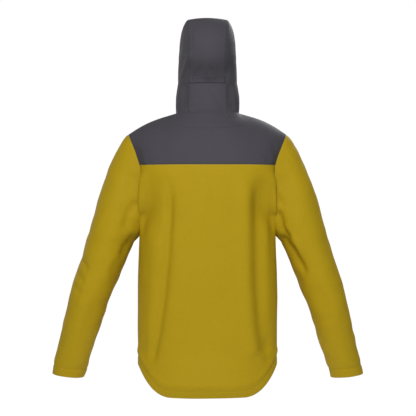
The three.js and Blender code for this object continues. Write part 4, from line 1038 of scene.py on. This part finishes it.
def gathered_strip(name, half, low, high, lift, ribs, finish, replaced):
    rows, columns = 19, 241
    x, z = (c.ravel() for c in np.meshgrid(np.linspace(-half, half, columns), np.linspace(low, high, rows)))
    spot, out = seen_from_behind(x, z)
    across = (z - low) / (high - low)
    wander = np.array([noise(Vector((a * 0.05, b * 0.02, 3))) for a, b in zip(x, z)])
    gather = 1 - 0.75 * smooth(x, 0, half)
    rib = ribs * gather * np.sin(2 * np.pi * (x / GATHER_PITCH + 1.1 * wander))
    rib = rib * (0.5 + 0.5 * np.sin(np.pi * across))
    edge = np.minimum(across, 1 - across) * (high - low)
    height = lift * smooth(edge, -0.3, 1.6) + rib * smooth(edge, 0, 3)
    height *= smooth(half - abs(x), -0.5, 2.5)
    spot = spot + out * column(0.15 + np.maximum(height, -0.05))
    piece = made_mesh(name, spot, grid_faces(rows, columns)[:, ::-1], [finish])
    thicken(piece, CASING_THICKNESS, -1)
    follow_hood(piece)
    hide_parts(replaced)


elastic = cloth("black elastic", (0.014, 0.013, 0.016), 0.75, 900, 0.5)
gathered_strip("rear_casing", CASING_HALF, CASING_LOW, CASING_HIGH, CASING_LIFT, CASING_RIB,
               charcoal, "hood_rear_casing")
gathered_strip("rear_elastic", CASING_HALF - 2, CASING_LOW + 4, CASING_HIGH - 4, 0.35, 0.1,
               elastic, "hood_rear_elastic")
casing_x = np.linspace(-CASING_HALF, CASING_HALF, 61)
casing_lines = [seen_from_behind(casing_x, np.full(61, z)) for z in (CASING_LOW + 2.2, CASING_HIGH - 2.2)]
casing_rows = [(p + out * 2.3, out) for p, out in casing_lines]
follow_hood(stitch_rows("stitching_casing", casing_rows, charcoal_thread))
dressed("hood_peak", charcoal, 0.6)
dressed("hood_edge_facing", facing_cloth)
dressed("chin_guard", facing_cloth, 0.3)

# ---- Neck: the tape that covers the neck seam inside, and the hanger loop sewn to it
# Narrow herringbone tape. The loop is doubled and caught down at both ends.
woven_tape = cloth("black herringbone tape", (0.018, 0.017, 0.019), 0.8, 1000, 0.55)
dressed("neck_tape", woven_tape)
dressed("hang_loop", woven_tape, 0.15)

# ---- Front zip: moulded teeth on woven tapes, with end stops, box and pin, slider and pull
# Acetal teeth, painted metal slider and a moulded grip. The storm flap lies behind it.
zip_tape = cloth("black zip tape", (0.026, 0.025, 0.028), 0.8, 1300, 0.5)


def moulded_speckle():
    """The fine speckle of moulded and painted surfaces, as a height."""
    group = bpy.data.node_groups.new("moulded speckle", "ShaderNodeTree")
    group.interface.new_socket("Height", in_out="OUTPUT", socket_type="NodeSocketFloat")
    add, link = nodes_of(group), group.links.new
    out, spot = add("NodeGroupOutput"), add("ShaderNodeTexCoord")
    speckle = add("ShaderNodeTexNoise", in_2=900, in_3=3)
    link(spot.outputs["Object"], speckle.inputs["Vector"])
    link(speckle.outputs[0], out.inputs["Height"])
    return group


speckle_group = moulded_speckle()


def hard(name, colour, roughness, metal, grain):
    made, shader, lift, add, link = bumped_material(name, colour, roughness, grain, 0.0002)
    speckle = add("ShaderNodeGroup", node_tree=speckle_group)
    link(speckle.outputs["Height"], lift.inputs["Height"])
    shader.inputs["Metallic"].default_value = metal
    return made


acetal = hard("black acetal", (0.012, 0.012, 0.013), 0.32, 0, 0.05)
painted_metal = hard("dark painted metal", (0.05, 0.05, 0.055), 0.34, 0.85, 0.08)
rubber = hard("moulded grip", (0.015, 0.015, 0.017), 0.6, 0, 0.25)
TOOTH_PITCH = 2.6
TOOTH = [(3.9, 0.42), (1.3, 0.42), (0.5, 0.6), (-0.5, 0.56), (-0.95, 0.28)]
TOOTH_LAYERS = [(-1.15, 0.82), (-0.85, 1), (0.85, 1), (1.15, 0.82)]
tooth_outline = np.array(TOOTH + [(x, -z) for x, z in TOOTH[::-1]])
for side, hand in (("left", 1), ("right", -1)):
    corners = np.array([v.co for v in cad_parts[f"zip_teeth_{side}"].data.vertices]) * 1000
    upper = corners[:, 2] > corners[:, 2].mean()
    head, foot = corners[upper].mean(axis=0), corners[~upper].mean(axis=0)
    down = (foot - head) / np.linalg.norm(foot - head)
    ahead = np.cross(down, [1, 0, 0])
    ahead *= -np.sign(ahead[1])
    count_teeth = int((np.linalg.norm(foot - head) - 2) / TOOTH_PITCH)
    spots, faces = [], []
    for k in range(count_teeth):
        middle = head * [0, 1, 1] + down * (1 + TOOTH_PITCH * (k + (0.5 if hand < 0 else 0)))
        ring = middle + column(tooth_outline[:, 0] * hand) * [1, 0, 0] + column(tooth_outline[:, 1]) * down
        base = 40 * k
        for depth, shrink in TOOTH_LAYERS:
            centre = ring.mean(axis=0)
            spots.append(centre + (ring - centre) * shrink + ahead * depth)
        for low in (base, base + 10, base + 20):
            faces += [(low + j, low + (j + 1) % 10, low + 10 + (j + 1) % 10, low + 10 + j)
                      for j in range(10)]
        for cap in (base, base + 30):
            faces += [(cap + a, cap + a + 1, cap + 8 - a, cap + 9 - a) for a in range(4)]
    teeth = made_mesh(f"teeth_{side}", np.concatenate(spots), faces, [acetal], smooth_faces=False)
    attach(teeth, f"front_{side}")
    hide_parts(f"zip_teeth_{side}")
    dressed(f"zip_tape_{side}", zip_tape)
    dressed(f"zip_stop_{side}", painted_metal, 0.3)
for node, finish, bevel in (
    ("zip_box", acetal, 0.5),
    ("zip_pin", painted_metal, 0.4),
    ("zip_slider", painted_metal, 0.5),
    ("zip_pull", painted_metal, 0.35),
    ("zip_pull_grip", rubber, 0.8),
    ("storm_flap", facing_cloth, 0.3),
):
    dressed(node, finish, bevel)

# ---- Hand pockets: a slanting zip each side with its slider and pull, and a mesh bag behind
# The zips are bonded over with a glossy film, so that only a narrow slit shows between its lips.
film = cloth("bonded film", (0.016, 0.016, 0.018), 0.3, 700, 0.06)
bag_mesh = cloth("pocket mesh", (0.06, 0.06, 0.066), 0.85, 420, 0.8, mottle=0.1)
for side in ("left", "right"):
    dressed(f"pocket_zip_{side}", film, 0.4)
    dressed(f"pocket_slider_{side}", painted_metal, 0.4)
    dressed(f"pocket_{side}_pull", rubber, 0.35)
    dressed(f"pocket_bag_{side}", bag_mesh, 0.4)
